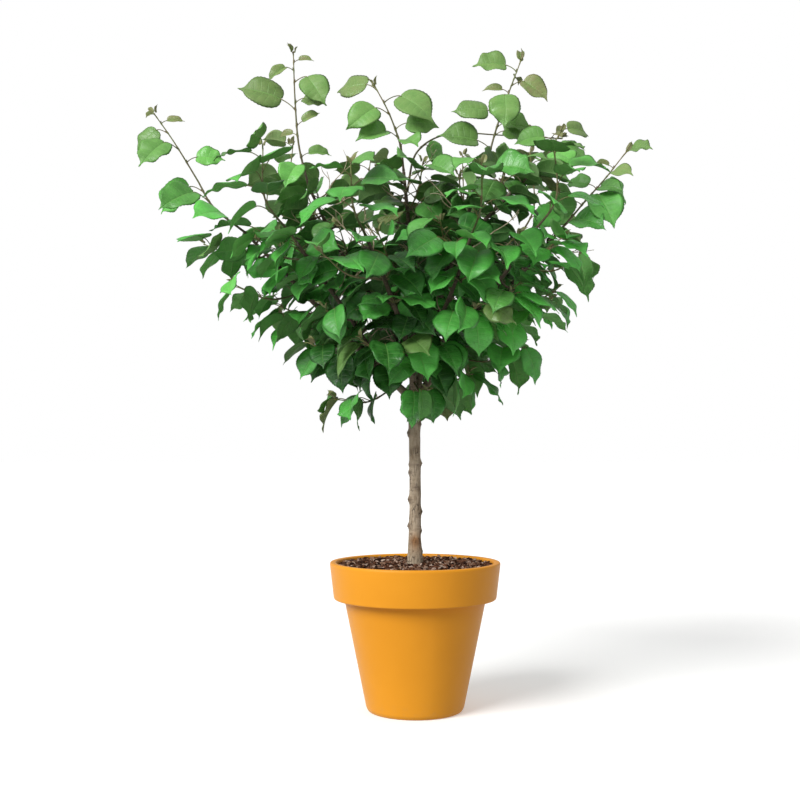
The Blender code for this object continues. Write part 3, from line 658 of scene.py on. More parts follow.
def stem_material():
    """This season's stems, leaf stalks and buds: brown below, then green, with red in patches where they are
    younger.
    """
    s = Shader("green_stem")
    age = s.attribute("leaf_age")
    place = s.position()
    streak = s.noise(s.scaled(place, (1.0, 1.0, 0.3)), 420.0, 3.0)
    colour = s.mix(s.span(age, 0.0, 0.45), (0.085, 0.060, 0.036), (0.130, 0.150, 0.045))
    colour = s.mix(s.span(age, 0.5, 1.0), colour, (0.22, 0.27, 0.07))
    red = s.times(s.span(s.noise(place, 60.0, 2.0), 0.38, 0.62), s.span(age, 0.2, 0.8, 0.15, 0.45))
    colour = s.mix(red, colour, (0.21, 0.080, 0.035))
    colour = s.mix(s.span(streak, 0.25, 0.75, 0.0, 0.35), colour, (0.06, 0.045, 0.03))
    pores = s.span(s.cells(s.scaled(place, (1.0, 1.0, 0.6)), 520.0, "F1"), 0.14, 0.24, 1.0, 0.0)
    colour = s.mix(s.times(pores, 0.5), colour, (0.42, 0.36, 0.24))
    height = s.plus(s.times(pores, 0.6), s.times(streak, 0.6))
    return s.surface(colour, s.span(streak, 0.2, 0.8, 0.42, 0.62), s.bump(height, 0.0004, 0.6), 0.5)


def bark_material():
    """Smooth young bark: grey-brown, with fine cracks up the stem, pale pores across it and dark knots."""
    s = Shader("bark_grey")
    place = s.position()
    youth = s.attribute("youth")
    knot = s.attribute("knot")
    rust = s.attribute("rust")
    tall = s.scaled(place, (1.0, 1.0, 0.22))
    wide = s.scaled(place, (0.45, 0.45, 1.9))
    broad = s.noise(place, 38.0, 4.0, 0.6)
    streak = s.noise(tall, 230.0, 4.0, 0.6, 0.6)
    crack = s.span(s.cells(tall, 210.0), 0.0, 0.10, 1.0, 0.0)
    crack = s.times(crack, s.span(s.noise(place, 70.0, 2.0), 0.42, 0.62))
    pore = s.times(s.span(s.noise(wide, 330.0, 2.0), 0.60, 0.70), s.span(youth, 0.0, 1.0, 0.8, 0.35))
    scale = s.noise(wide, 95.0, 3.0, 0.6, 0.4)
    colour = s.mix(s.span(broad, 0.32, 0.68), (0.250, 0.185, 0.120), (0.430, 0.345, 0.245))
    colour = s.mix(s.span(streak, 0.35, 0.70, 0.0, 0.6), colour, (0.56, 0.460, 0.340))
    colour = s.mix(s.span(scale, 0.55, 0.75, 0.0, 0.45), colour, (0.115, 0.078, 0.052))
    colour = s.mix(s.times(youth, 0.88), colour, (0.070, 0.050, 0.034))
    colour = s.mix(s.times(pore, 0.6), colour, (0.50, 0.40, 0.28))
    colour = s.mix(s.times(crack, 0.75), colour, (0.050, 0.034, 0.024))
    colour = s.mix(s.times(knot, s.span(scale, 0.3, 0.7, 0.45, 0.9)), colour, (0.085, 0.052, 0.034))
    colour = s.mix(s.times(rust, s.span(streak, 0.3, 0.7, 0.4, 0.9)), colour, (0.36, 0.17, 0.06))
    height = s.plus(s.times(streak, 0.5), s.times(pore, 0.5))
    height = s.math("SUBTRACT", s.plus(height, s.times(scale, 0.6)),
                    s.times(crack, 1.1))
    return s.surface(colour, s.span(streak, 0.2, 0.8, 0.92, 0.72), s.bump(height, 0.0012, 0.8), 0.35)


def pot_material():
    """Moulded plastic with a fine satin grain, a little soil dust inside the rim and scuffs at the foot."""
    s = Shader("pot_plastic_satin")
    place = s.position()
    parts = s.node("ShaderNodeSeparateXYZ", {0: place})
    height = parts.outputs[2]
    cloud = s.noise(place, 7.0, 3.0)
    grain = s.noise(place, 1500.0, 2.0, 0.5)
    patch = s.noise(place, 60.0, 4.0, 0.6)
    colour = s.mix(s.span(cloud, 0.3, 0.7), POT_DEEP, POT_BRIGHT)
    foot = s.times(s.span(height, 0.0, 0.035, 1.0, 0.0), s.span(patch, 0.45, 0.70))
    colour = s.mix(s.times(foot, 0.16), colour, (0.45, 0.27, 0.12))
    inside = s.attribute("inside")
    dust = s.times(inside, s.span(patch, 0.35, 0.65, 0.0, 0.35))
    colour = s.mix(dust, colour, (0.30, 0.15, 0.04))
    scratch = s.noise(s.scaled(place, (1.0, 1.0, 9.0)), 240.0, 2.0)
    rough = s.plus(s.span(grain, 0.3, 0.7, 0.40, 0.47),
                   s.plus(s.times(dust, 0.3), s.span(scratch, 0.62, 0.72, 0.0, 0.06)))
    bumps = s.plus(s.times(grain, 0.8), s.times(cloud, 0.6))
    return s.surface(colour, rough, s.bump(bumps, 0.00035, 0.35), 0.22)


def soil_material():
    """Dark crumbly potting soil."""
    s = Shader("potting_soil")
    place = s.position()
    crumb = s.cells(place, 260.0, "F1")
    patch = s.noise(place, 90.0, 5.0, 0.65)
    colour = s.mix(s.span(patch, 0.3, 0.7), (0.006, 0.003, 0.002), (0.030, 0.016, 0.009))
    colour = s.mix(s.span(crumb, 0.1, 0.5, 0.5, 0.0), colour, (0.055, 0.030, 0.018))
    height = s.plus(s.times(crumb, -0.8), patch)
    return s.surface(colour, s.span(patch, 0.3, 0.7, 0.98, 0.86), s.bump(height, 0.004, 0.9), 0.25)


def chip_material():
    """Mulch: composted bark, from nearly black to pinkish grey, rough and fibrous."""
    s = Shader("bark_mulch_chips")
    place = s.position()
    tone = s.attribute("chip_tone")
    fibre = s.noise(s.scaled(place, (1.0, 0.35, 1.0)), 700.0, 3.0, 0.6)
    colour = s.mix(s.span(tone, 0.0, 0.55), (0.016, 0.004, 0.001), (0.150, 0.058, 0.029))
    colour = s.mix(s.span(tone, 0.55, 0.80), colour, (0.340, 0.200, 0.130))
    colour = s.mix(s.span(tone, 0.80, 1.0), colour, (0.640, 0.480, 0.390))
    colour = s.mix(s.span(fibre, 0.3, 0.7, 0.5, 0.0), colour, (0.030, 0.012, 0.005))
    return s.surface(colour, s.span(fibre, 0.3, 0.7, 0.95, 0.75), s.bump(fibre, 0.0012, 0.8), 0.12)


def floor_material():
    """A plain pale studio floor."""
    s = Shader("studio_floor")
    s.principled.inputs["Emission Color"].default_value = WHITE
    s.principled.inputs["Emission Strength"].default_value = FLOOR_GLOW
    return s.surface((0.90, 0.90, 0.89), 0.75, None, 0.2)


# ------------------------------------------------------------------ mesh building

class Shape:
    """Gathers the points and faces of one piece, with a material slot for each face."""

    def __init__(self):
        self.points = []
        self.places = []
        self.tones = []
        self.ages = []
        self.faces = []
        self.slots = []
        self.count = 0

    def add(self, points, faces, slots, places, tone, ages):
        """One closed solid: its points, faces, slots of the faces, places on the leaf, tone and ages."""
        points = np.asarray(points, float)
        self.points.append(points)
        self.places.append(np.broadcast_to(np.asarray(places, float), points.shape))
        self.tones.append(np.full(len(points), tone))
        self.ages.append(np.broadcast_to(np.asarray(ages, float), (len(points),)))
        self.faces += [[corner + self.count for corner in face] for face in faces]
        self.slots += list(slots) if hasattr(slots, "__len__") else [slots] * len(faces)
        self.count += len(points)

    def piece(self, name, materials, slot):
        """The piece as an object that rides on the part's body."""
        mesh = bpy.data.meshes.new(name)
        mesh.from_pydata(np.concatenate(self.points).tolist(), [], self.faces)
        for material in materials:
            mesh.materials.append(material)
        mesh.polygons.foreach_set("material_index", self.slots)
        for title, kind, values in (("leaf_place", "FLOAT_VECTOR", self.places),
                                    ("leaf_tone_and_shade", "FLOAT", self.tones), ("leaf_age", "FLOAT", self.ages)):
            layer = mesh.attributes.new(title, kind, "POINT")
            key = "vector" if kind == "FLOAT_VECTOR" else "value"
            layer.data.foreach_set(key, np.concatenate(values).astype(np.float32).ravel())
        mesh.shade_smooth()
        return placed(name, mesh)


def in_scene(name, data):
    """A new object in the scene."""
    thing = bpy.data.objects.new(name, data)
    bpy.context.scene.collection.objects.link(thing)
    return thing


def evaluated_mesh(thing):
    """A mesh with an object's modifiers applied. The object is removed."""
    bpy.context.view_layer.update()
    graph = bpy.context.evaluated_depsgraph_get()
    mesh = bpy.data.meshes.new_from_object(thing.evaluated_get(graph))
    bpy.data.objects.remove(thing, do_unlink=True)
    return mesh


def point_tree(points):
    """A search tree of points, which gives back their order."""
    tree = KDTree(len(points))
    for index, point in enumerate(points):
        tree.insert(point, index)
    tree.balance()
    return tree


def finished(mesh, material, values, angle=None):
    """Gives a mesh its only material, its values by point, and smooth or part smooth shading."""
    for title, numbers in values.items():
        mesh.attributes.new(title, "FLOAT", "POINT").data.foreach_set("value", numbers)
    mesh.materials.clear()
    mesh.materials.append(material)
    mesh.shade_smooth()
    if angle:
        mesh.set_sharp_from_angle(angle=math.radians(angle))
    return mesh


def placed(name, mesh):
    """Puts a mesh in the scene as a piece of the part."""
    thing = in_scene(name, mesh)
    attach(thing, "root")
    return thing


def tube_points(centres, radii, sides):
    """The points and faces of a closed tube that comes to a blunt point at both ends."""
    centres = [Vector(centre) for centre in centres]
    points = []
    side = None
    for i, (centre, radius) in enumerate(zip(centres, radii)):
        before = centres[max(i - 1, 0)]
        after = centres[min(i + 1, len(centres) - 1)]
        way = (after - before).normalized()
        if side is None:
            side = way.orthogonal()
        side = (side - way * side.dot(way)).normalized()
        other = way.cross(side)
        for k in range(sides):
            turn = math.tau * k / sides
            points.append(centre + (side * math.cos(turn) + other * math.sin(turn)) * radius)
    faces = []
    for i in range(len(centres) - 1):
        for k in range(sides):
            following = (k + 1) % sides
            low = i * sides
            faces.append((low + k, low + following, low + sides + following, low + sides + k))
    start = len(points)
    points += [centres[0], centres[-1]]
    last = (len(centres) - 1) * sides
    for k in range(sides):
        following = (k + 1) % sides
        faces.append((following, k, start))
        faces.append((last + k, last + following, start + 1))
    return [tuple(point) for point in points], faces


# ------------------------------------------------------------------ leaves

SIDE_VEINS = 7.0
LEAF_LIGHT_THROUGH = 0.18
BLADE_ROWS = 30
BLADE_COLUMNS = np.array((-1, -0.83, -0.60, -0.34, -0.05, 0, 0.05, 0.34, 0.60, 0.83, 1))
# The blade's outline: the half width as a share of the greatest, and how far the margin runs ahead of
# the midrib as a share of the length, at shares of the midrib
OUTLINE_AT = (0, 0.02, 0.06, 0.13, 0.22, 0.32, 0.43, 0.54, 0.65, 0.74, 0.81, 0.87, 0.93, 1)
OUTLINE_WIDTH = (0.10, 0.36, 0.65, 0.88, 0.99, 1.0, 0.93, 0.80, 0.59, 0.38, 0.22, 0.12, 0.055, 0.012)
OUTLINE_LEAD = (-0.03, -0.055, -0.045, -0.010, 0.045, 0.085, 0.105, 0.10, 0.075, 0.045, 0.02, 0.008, 0.002, 0)
LEAF_HALF_THICKNESS = 0.00024
RIB_DEPTH = 0.0008


def blade_faces():
    """The faces of a blade and the slot of each: upper side 0, underside 1."""
    rows, columns = BLADE_ROWS, len(BLADE_COLUMNS)
    tip = rows * columns + rows * (columns - 2)

    def top(i, j):
        return i * columns + j

    def under(i, j):
        return top(i, j) if j in (0, columns - 1) else rows * columns + i * (columns - 2) + j - 1

    faces = []
    slots = []
    for i in range(rows - 1):
        for j in range(columns - 1):
            faces.append((top(i, j), top(i + 1, j), top(i + 1, j + 1), top(i, j + 1)))
            faces.append((under(i, j), under(i, j + 1), under(i + 1, j + 1), under(i + 1, j)))
            slots += [0, 1]
    for j in range(columns - 1):
        faces.append((top(rows - 1, j), tip, top(rows - 1, j + 1)))
        faces.append((under(rows - 1, j + 1), tip, under(rows - 1, j)))
        slots += [0, 1]
        ring = (top(0, j), top(0, j + 1), under(0, j + 1), under(0, j))
        faces.append(tuple(dict.fromkeys(ring)))
        slots.append(1)
    return faces, slots


BLADE_FACES, BLADE_SLOTS = blade_faces()


def habit(rng, young):
    """How one leaf is shaped: its fold, turned margins, waves, twist, curl, bend and width."""
    return {
        "fold": rng.uniform(0.42, 0.75) if young else rng.uniform(0.02, 0.44),
        "edge": rng.uniform(0.00, 0.10) if young else rng.uniform(-0.08, 0.26),
        "wave": rng.uniform(0.04, 0.15),
        "waves": rng.uniform(1.2, 2.9),
        "phase": (rng.uniform(0, math.tau), rng.uniform(0, math.tau)),
        "twist": math.radians(rng.uniform(-20, 20)),
        "curl": math.radians(rng.uniform(-8, 9)),
        "hook": rng.uniform(-0.05, 0.15),
        "sickle": rng.uniform(-0.09, 0.09),
        "width": rng.uniform(0.88, 1.0),
        "quilt": rng.uniform(0.006, 0.014),
        "skew": rng.uniform(-0.07, 0.07),
    }


def add_blade(shape, leaf, stem_point, rng, tone, age):
    """Adds a leaf's blade: a thin, quilted, toothed sheet with its midrib proud underneath.

    Gives back the points of its midrib.
    """
    young = leaf["length"] < YOUNG_LENGTH
    h = habit(rng, young)
    base = blade_base(leaf, stem_point)
    length_way, normal, width_way = (np.array(v) for v in blade_axes(leaf))
    length = leaf["length"]
    half = blade_half_width(length) * h["width"]
    t = np.linspace(0, 1, BLADE_ROWS + 1)[:-1]
    t = (t * 0.985 + 0.015 * t * t) ** 1.05
    c = BLADE_COLUMNS
    width = np.interp(t, OUTLINE_AT, OUTLINE_WIDTH)
    lead = np.interp(t, OUTLINE_AT, OUTLINE_LEAD)
    teeth = np.where(np.arange(BLADE_ROWS) % 2 == 0, 0.022, -0.014) * np.sin(math.pi * t) ** 0.5
    teeth[0] = 0.0
    out = np.abs(c)
    along_share = t[:, None] + lead[:, None] * out[None, :] ** 1.6
    reach = c[None, :] * width[:, None] * half
    reach = reach + np.where(out[None, :] == 1, np.sign(c)[None, :] * teeth[:, None] * half, 0)
    reach = reach + h["skew"] * half * np.sin(math.pi * t)[:, None] * (1 - out[None, :] ** 2)

    curl = math.radians(BLADE_CURL)
    first = -curl / 2
    here = first + curl * along_share + h["curl"] * np.clip(along_share - 0.35, 0, 1)
    forward = (np.sin(first + curl * along_share) - math.sin(first)) / curl
    down = (np.cos(first + curl * along_share) - math.cos(first)) / curl
    down = down - h["hook"] * np.clip(along_share - 0.55, 0, 1) ** 2 * 2
    spine = np.array(base) + (forward[..., None] * length_way + down[..., None] * normal) * length
    up = np.cos(here)[..., None] * normal + np.sin(here)[..., None] * length_way
    turn = (h["twist"] * t)[:, None, None]
    side = width_way * np.cos(turn) + up * np.sin(turn)
    up = up * np.cos(turn) - width_way * np.sin(turn)
    spine = spine + side * (h["sickle"] * length * np.clip(along_share - 0.45, 0, 1) ** 2 * 1.8)[..., None]

    local = width[:, None] * half
    lift = local * (h["fold"] * out - h["edge"] * out ** 2.2)
    left, right = h["phase"]
    ripple = np.where(c[None, :] < 0, np.sin(math.tau * h["waves"] * t[:, None] + left),
                      np.sin(math.tau * h["waves"] * 0.93 * t[:, None] + right))
    lift = lift + h["wave"] * half * out ** 2 * ripple * np.sin(math.pi * t[:, None]) ** 0.4
    offset = 0.21 * np.sign(c)[None, :]
    puff = 0.5 - 0.5 * np.cos(math.tau * (SIDE_VEINS * t[:, None] + offset))
    middle = np.sin(math.pi * t[:, None]) ** 0.5
    lift = lift + h["quilt"] * length * puff * np.sqrt(out) * (1 - out ** 3) * middle
    lift = lift - 0.006 * length * np.exp(-(c / 0.10) ** 2) * (1 - t[:, None])
    sheet = spine + side * reach[..., None] + up * lift[..., None]

    thick = LEAF_HALF_THICKNESS * (1 - out ** 4)
    rib = RIB_DEPTH * np.exp(-(c / 0.035) ** 2)[None, :] * (1.05 - t[:, None]) ** 0.8
    upper = sheet + up * thick[None, :, None]
    lower = sheet - up * (thick[None, :] + rib)[..., None]
    tip_spine = spine[-1, len(c) // 2] + (spine[-1, len(c) // 2] - spine[-2, len(c) // 2]) * 0.9
    points = np.concatenate((upper.reshape(-1, 3), lower[:, 1:-1].reshape(-1, 3), tip_spine[None]))

    u = np.repeat(t, len(c))
    v = np.tile(c, BLADE_ROWS)
    inner = slice(1, -1)
    u2 = np.repeat(t, len(c) - 2)
    v2 = np.tile(c[inner], BLADE_ROWS)
    places = np.stack((np.concatenate((u, u2, [1.0])), np.concatenate((v, v2, [0.0])),
                       np.full(len(points), length)), axis=1)
    shape.add(points, BLADE_FACES, BLADE_SLOTS, places, tone, age)
    return spine[:, len(c) // 2]


def add_stalk(shape, start, base, way_out, way_in, radius, age, tone):
    """Adds a leaf stalk, a little bent, which runs on under the foot of the blade."""
    reach = (base - start).length
    handles = (start, start + way_out * reach * 0.35, base - way_in * reach * 0.30, base + way_in * 0.0015)
    centres = []
    radii = []
    for k in range(8):
        s = k / 7
        a, b, c, d = (1 - s) ** 3, 3 * s * (1 - s) ** 2, 3 * s * s * (1 - s), s ** 3
        centres.append(handles[0] * a + handles[1] * b + handles[2] * c + handles[3] * d)
        radii.append(radius * (1.45 - 0.5 * min(s * 4, 1) + (0.12 if 0.72 < s < 0.95 else 0)))
    points, faces = tube_points(centres, radii, 7)
    shape.add(points, faces, STEM_SLOT, (0, 0, 0), tone, age)


def add_bud(shape, foot, way, length, radius, age):
    """Adds a pointed bud."""
    centres = [foot + way * length * s for s in (-0.25, 0.0, 0.18, 0.40, 0.65, 0.86, 1.0)]
    radii = [radius * s for s in (0.6, 0.85, 1.0, 0.95, 0.66, 0.32, 0.08)]
    points, faces = tube_points(centres, radii, 7)
    shape.add(points, faces, STEM_SLOT, (0, 0, 0), 0.5, age)


STEM_SLOT = 2
CROWN_WAIST = 0.17                 # the crown's radius where it begins, and how it widens with height
CROWN_SPREAD = 0.62
TONE_OUTSIDE = 0.78                # from 0, dark, to 1, light, for a leaf low on the crown's outside
TONE_LOSS_UP = 0.08                # how much darker one is half a metre higher
# Inner leaves are darker: shade leaves are darker green, and the rest is painted shade
INSIDE_TONE_AND_SHADE_LOSS = 0.50
TONE_SCATTER = 0.21
SHADE_POCKET_PLACE = Vector((-0.115, -0.10, 0.625))   # painted shade: a dark patch of leaf colour low on the left of the front
SHADE_POCKET_REACH = 0.115
SHADE_POCKET_LOSS = 0.60
TURNED_LEAVES = 0.045              # the share of the leaves that have begun to turn
LEAF_MATERIALS = [
    leaf_material("leaf_upper", LEAF_DARK, LEAF_LIGHT, LEAF_YOUNG, LEAF_VEIN, 0.26, 0.8, 0.34),
    leaf_material("leaf_underside", UNDER_DARK, UNDER_LIGHT, UNDER_YOUNG, UNDER_VEIN, 0.62, -1.3, 0.42),
    stem_material(),
]


def leaf_tone_and_shade(point, rng):
    """A leaf's place between dark and light green: darker inside the crown, partly as shade leaves are and
    partly as painted shade, and darker in a painted shade patch low on the left of the front.
    """
    high = (point.z - 0.62) / 0.50
    level = math.hypot(point.x, point.y)
    shell = CROWN_WAIST + (point.z - 0.60) * CROWN_SPREAD
    depth = clamp((shell - level) / 0.15) * clamp((1.02 - point.z) / 0.12)
    painted_shade = SHADE_POCKET_LOSS * math.exp(-((point - SHADE_POCKET_PLACE).length / SHADE_POCKET_REACH) ** 2)
    return clamp(TONE_OUTSIDE - TONE_LOSS_UP * high - INSIDE_TONE_AND_SHADE_LOSS * depth - painted_shade
                 + rng.gauss(0, TONE_SCATTER))


def leaf_age(leaf, place, height):
    """From 0, full grown, to 1, just unfolded and bronze. Leaves high in the crown are the younger ones."""
    small = max(0.0, (0.046 - leaf["length"]) / 0.028)
    high = clamp((height - 0.84) / 0.24) * 0.60
    return min(1.0, small + high + (0.15 if place > 0.93 else 0.0))


def leaf_turned(rng):
    """How far a leaf has begun to turn yellow or brown: a few have."""
    return rng.uniform(0.35, 0.9) if rng.random() < TURNED_LEAVES else 0.0


def add_leaf(shape, leaf, stem_point, stem_way, stem_girth, rng, youth):
    """Adds a whole leaf on a stem: stalk, blade and the bud in its axil."""
    base = blade_base(leaf, stem_point)
    out = (base - stem_point).normalized()
    # the tone holds painted shade inside the crown and low on the left of the front
    tone = leaf_tone_and_shade(base, rng)
    age = min(1.0, leaf_age(leaf, youth, base.z) + leaf_turned(rng))
    spine = add_blade(shape, leaf, stem_point, rng, tone, age)
    way_in = Vector(spine[1] - spine[0]).normalized()
    start = stem_point + (out - stem_way * out.dot(stem_way)).normalized() * stem_girth * 0.6
    thin = 0.00062 + 0.0042 * leaf["length"]
    add_stalk(shape, start, base, (out * 0.8 + stem_way * 0.35).normalized(), way_in, thin,
              0.45 + 0.5 * rng.random(), 0.5)
    axil = start + stem_way * 0.0018
    add_bud(shape, axil, (stem_way * 0.8 + out * 0.45).normalized(), 0.0042, 0.0011, 0.1)


# ------------------------------------------------------------------ shoots

def as_built(node, line, leaves):
    """The leaves that the CAD piece has, in the attitudes that it has them in."""
    tree = point_tree([vertex.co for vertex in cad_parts[node].data.vertices])
    built = []
    for leaf in leaves:
        stem_point = along(line, leaf["place"])
        for attempt in range(LEAF_TRIES):
            turned_leaf = leaf_try(leaf, attempt)
            _, tip = blade_rings(turned_leaf, stem_point)
            if tree.find(tip)[2] < SAME_PLACE:
                built.append(turned_leaf)
                break
    return built


def add_stem(shape, line, leaves, base_radius, tip_radius, oldest, youngest):
    """Adds a stem with a swelling at every node."""
    length = curve_length(line)
    steps = max(8, int(length / 0.0055))
    shares = sorted({k / steps for k in range(steps + 1)} | {leaf["place"] for leaf in leaves})
    centres = [along(line, share) for share in shares]
    radii = []
    for share in shares:
        swell = sum(math.exp(-((share - leaf["place"]) * length / 0.0022) ** 2) for leaf in leaves)
        foot = math.exp(-share * length / 0.004)
        girth = base_radius + (tip_radius - base_radius) * share
        radii.append(girth * (1 + 0.42 * min(swell, 1) + 0.35 * foot))
    points, faces = tube_points(centres, radii, 8)
    ages = [oldest + (youngest - oldest) * share for share in shares for _ in range(8)] + [oldest, youngest]
    shape.add(points, faces, STEM_SLOT, (0, 0, 0), 0.5, ages)


def add_tip(shape, line, rng):
    """Adds the end of a growing shoot: its bud and a few leaves that are just unfolding."""
    end = along(line, 1)
    way = direction_along(line, 1)
    add_bud(shape, end, way, 0.0048, 0.0013, 0.9)
    turn = rng.uniform(0, 360)
    for k in range(rng.choice((2, 3))):
        around = heading_vector(turn + k * GOLDEN_ANGLE, 8)
        aim = (way * 1.1 + around * 0.8 + Vector((0, 0, 0.25))).normalized()
        leaf = {"heading": compass(aim), "droop": -math.degrees(math.asin(max(-0.96, min(0.96, aim.z)))),
                "length": rng.uniform(0.010, 0.019), "facing": compass(outward(end)), "tilt": 40}
        add_blade(shape, leaf, end - way * rng.uniform(0, 0.003), rng, 0.6, 1.0)


def make_shoots():
    """One piece for each leafy shoot, standing for its CAD node."""
    for name, line, leaves in shoot_plan():
        shape = Shape()
        rng = random.Random(name + " look")
        built = as_built(name, line, leaves)
        leading = not name.startswith("side")
        foot_radius = LEADING_STEM_RADIUS if leading else SIDE_STEM_RADIUS
        add_stem(shape, line, built, foot_radius, STEM_TIP_RADIUS, 0.0 if leading else 0.2, 0.9)
        for leaf in built:
            place = leaf["place"]
            girth = LEADING_STEM_RADIUS - STEM_TAPER * place
            add_leaf(shape, leaf, along(line, place), direction_along(line, place), girth, rng, place)
        add_tip(shape, line, rng)
        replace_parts(shape.piece(name + "_leafy", LEAF_MATERIALS, "foliage"), name)


def spur_plan():
    """Short spurs on the branches, each as (branch, share, heading, rise, length, leaf count)."""
    plan = []
    for branch in BRANCHES:
        rng = random.Random("spurs " + branch)
        line = branch_line(branch)
        length = curve_length(line)
        first = 0.20 if BRANCHES[branch][0] is None else 0.12
        count = max(4, round(length / SPUR_SPACING))
        turn = rng.uniform(0, 360)
        for k in range(count):
            share = first + (0.97 - first) * (k + 0.5) / count
            turn += GOLDEN_ANGLE
            plan.append((branch, share, turn + rng.uniform(-20, 20), rng.uniform(-25, 50),
                         rng.uniform(0.010, 0.026), rng.choice(SPUR_LEAVES)))
    return plan


def make_spurs():
    """The leaves on short spurs, one piece for each branch, clear of the CAD solids and of each other."""
    solids = []
    for name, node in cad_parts.items():
        if name in ("pot", "soil"):
            continue
        low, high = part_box(name)
        points = [vertex.co for vertex in node.data.vertices]
        tree = BVHTree.FromPolygons(points, [face.vertices for face in node.data.polygons])
        solids.append((tree, (low + high) / 2, (high - low).length / 2))
    shapes = {branch: Shape() for branch in BRANCHES}
    for number, (branch, share, heading, rise, length, count) in enumerate(spur_plan()):
        rng = random.Random(f"spur {number}")
        way = heading_vector(heading, rise)
        start, side = side_foot(branch, share, way)
        aim = (side * 0.8 + way * 0.4 + Vector((0, 0, 0.15))).normalized()
        knee = start + side * length * 0.5
        line = [start - side * 0.0008, knee, knee + aim * length * 0.5]
        end = line[-1]
        light = outward(end)
        turn = rng.uniform(0, 360)
        kept = []
        for k in range(count):
            around = heading_vector(turn + k * GOLDEN_ANGLE, 0)
            low = clamp((0.88 - end.z) / 0.30)
            leaf = {"heading": compass(around * 0.8 + light * 0.6) + rng.uniform(-12, 12),
                    "droop": 2 + 44 * low + rng.uniform(-16, 26), "length": rng.uniform(0.050, 0.074),
                    "facing": compass(light) + rng.uniform(-55, 55), "tilt": rng.uniform(10, 66),
                    "place": 1.0 - 0.16 * k}
            stem_point = along(line, leaf["place"])
            for attempt in range(LEAF_TRIES):
                turned_leaf = leaf_try(leaf, attempt)
                solid = leaf_solid(turned_leaf, stem_point, SPUR_CLEARANCE)
                reach = leaf["length"] * (1 + PETIOLE_SHARE)
                near = [tree for tree, centre, far in solids if (centre - stem_point).length < reach + far]
                if not any(solid.overlap(tree) for tree in near):
                    kept.append(turned_leaf)
                    solids.append((leaf_solid(turned_leaf, stem_point, 0.0), stem_point, reach))
                    break
        if not kept:
            continue
        shape = shapes[branch]
        add_stem(shape, line, kept, *SPUR_RADII, 0.0, 0.1)
        for leaf in kept:
            place = leaf["place"]
            add_leaf(shape, leaf, along(line, place), direction_along(line, place), SPUR_RADII[1], rng, 0.0)
        add_bud(shape, end, direction_along(line, 1), 0.005, 0.0016, 0.1)
    for branch, shape in shapes.items():
        if shape.count:
            shape.piece("spurs_" + branch, LEAF_MATERIALS, "foliage")


def twig_material():
    """Fine dry twigs, straw to grey."""
    s = Shader("twig_straw")
    place = s.position()
    patch = s.noise(place, 45.0, 3.0)
    streak = s.noise(s.scaled(place, (1.0, 1.0, 0.3)), 700.0, 2.0)
    colour = s.mix(s.span(patch, 0.3, 0.7), (0.330, 0.260, 0.160), (0.680, 0.580, 0.410))
    colour = s.mix(s.span(streak, 0.4, 0.7, 0.0, 0.4), colour, (0.120, 0.085, 0.055))
    return s.surface(colour, s.span(streak, 0.3, 0.7, 0.7, 0.9), s.bump(streak, 0.0003, 0.7), 0.3)


# Branches that carry fine twigs, and how many
TWIGS = (("centre", 16), ("upper_left", 10), ("upper_right", 11), ("left", 9), ("right", 9),
         ("reach", 8), ("back", 7), ("front", 5), ("left_front", 3), ("front_right", 3),
         ("left_back", 4), ("right_back", 4))


def make_twigs(material):
    """Fine bare twigs on the branches, with their own side twigs."""
    rng = random.Random("twigs")
    shape = Shape()
    for branch, count in TWIGS:
        for _ in range(count):
            share = rng.uniform(0.28, 0.92)
            way = heading_vector(rng.uniform(0, 360), rng.uniform(-10, 75))
            start, side = side_foot(branch, share, way)
            length = rng.uniform(0.055, 0.125)
            line = [start - side * 0.001]
            heading = (side + way).normalized()
            for _ in range(4):
                bend = heading_vector(rng.uniform(0, 360), rng.uniform(-40, 60))
                heading = (heading + bend * 0.35).normalized()
                line.append(line[-1] + heading * length / 4)
            add_twig(shape, line, *TWIG_RADII)
            for _ in range(rng.choice((1, 2, 3))):
                at = rng.uniform(0.3, 0.85)
                foot = along(line, at)
                fork = direction_along(line, at) + heading_vector(rng.uniform(0, 360), rng.uniform(-30, 60))
                fork.normalize()
                reach = length * rng.uniform(0.2, 0.45)
                bend = heading_vector(rng.uniform(0, 360), 20) * reach * 0.2
                points = [foot, foot + fork * reach * 0.5 + bend, foot + fork * reach]
                add_twig(shape, points, *SIDE_TWIG_RADII)
    shape.piece("fine_twigs", [material], "bark")


def add_twig(shape, line, base_radius, tip_radius):
    """Adds one bare twig with slight joints along it."""
    steps = 6 * (len(line) - 1)
    centres = [along(line, k / steps) for k in range(steps + 1)]
    radii = [(base_radius + (tip_radius - base_radius) * k / steps) * (1.3 if k % 6 == 0 else 1.0)
             for k in range(steps + 1)]
    points, faces = tube_points(centres, radii, 6)
    shape.add(points, faces, 0, (0, 0, 0), 0.5, 0.0)


# ------------------------------------------------------------------ wood

# Knots on the trunk: height, compass bearing, how far they stand out, their height and their width in degrees
KNOTS = (
    (0.483, 185, 0.0030, 0.006, 46), (0.431, 350, 0.0026, 0.005, 70), (0.428, 170, 0.0012, 0.004, 90),
    (0.414, 190, 0.0026, 0.005, 44), (0.388, 280, 0.0016, 0.004, 40), (0.367, 176, 0.0032, 0.006, 42),
    (0.346, 5, 0.0024, 0.005, 44), (0.320, 188, 0.0028, 0.005, 42), (0.312, 352, 0.0022, 0.005, 40),
    (0.296, 262, 0.0018, 0.006, 38), (0.500, 330, 0.0020, 0.005, 40), (0.455, 90, 0.0026, 0.006, 44),
    (0.378, 70, 0.0024, 0.005, 44), (0.335, 110, 0.0024, 0.005, 44), (0.276, 20, 0.0018, 0.005, 44),
)
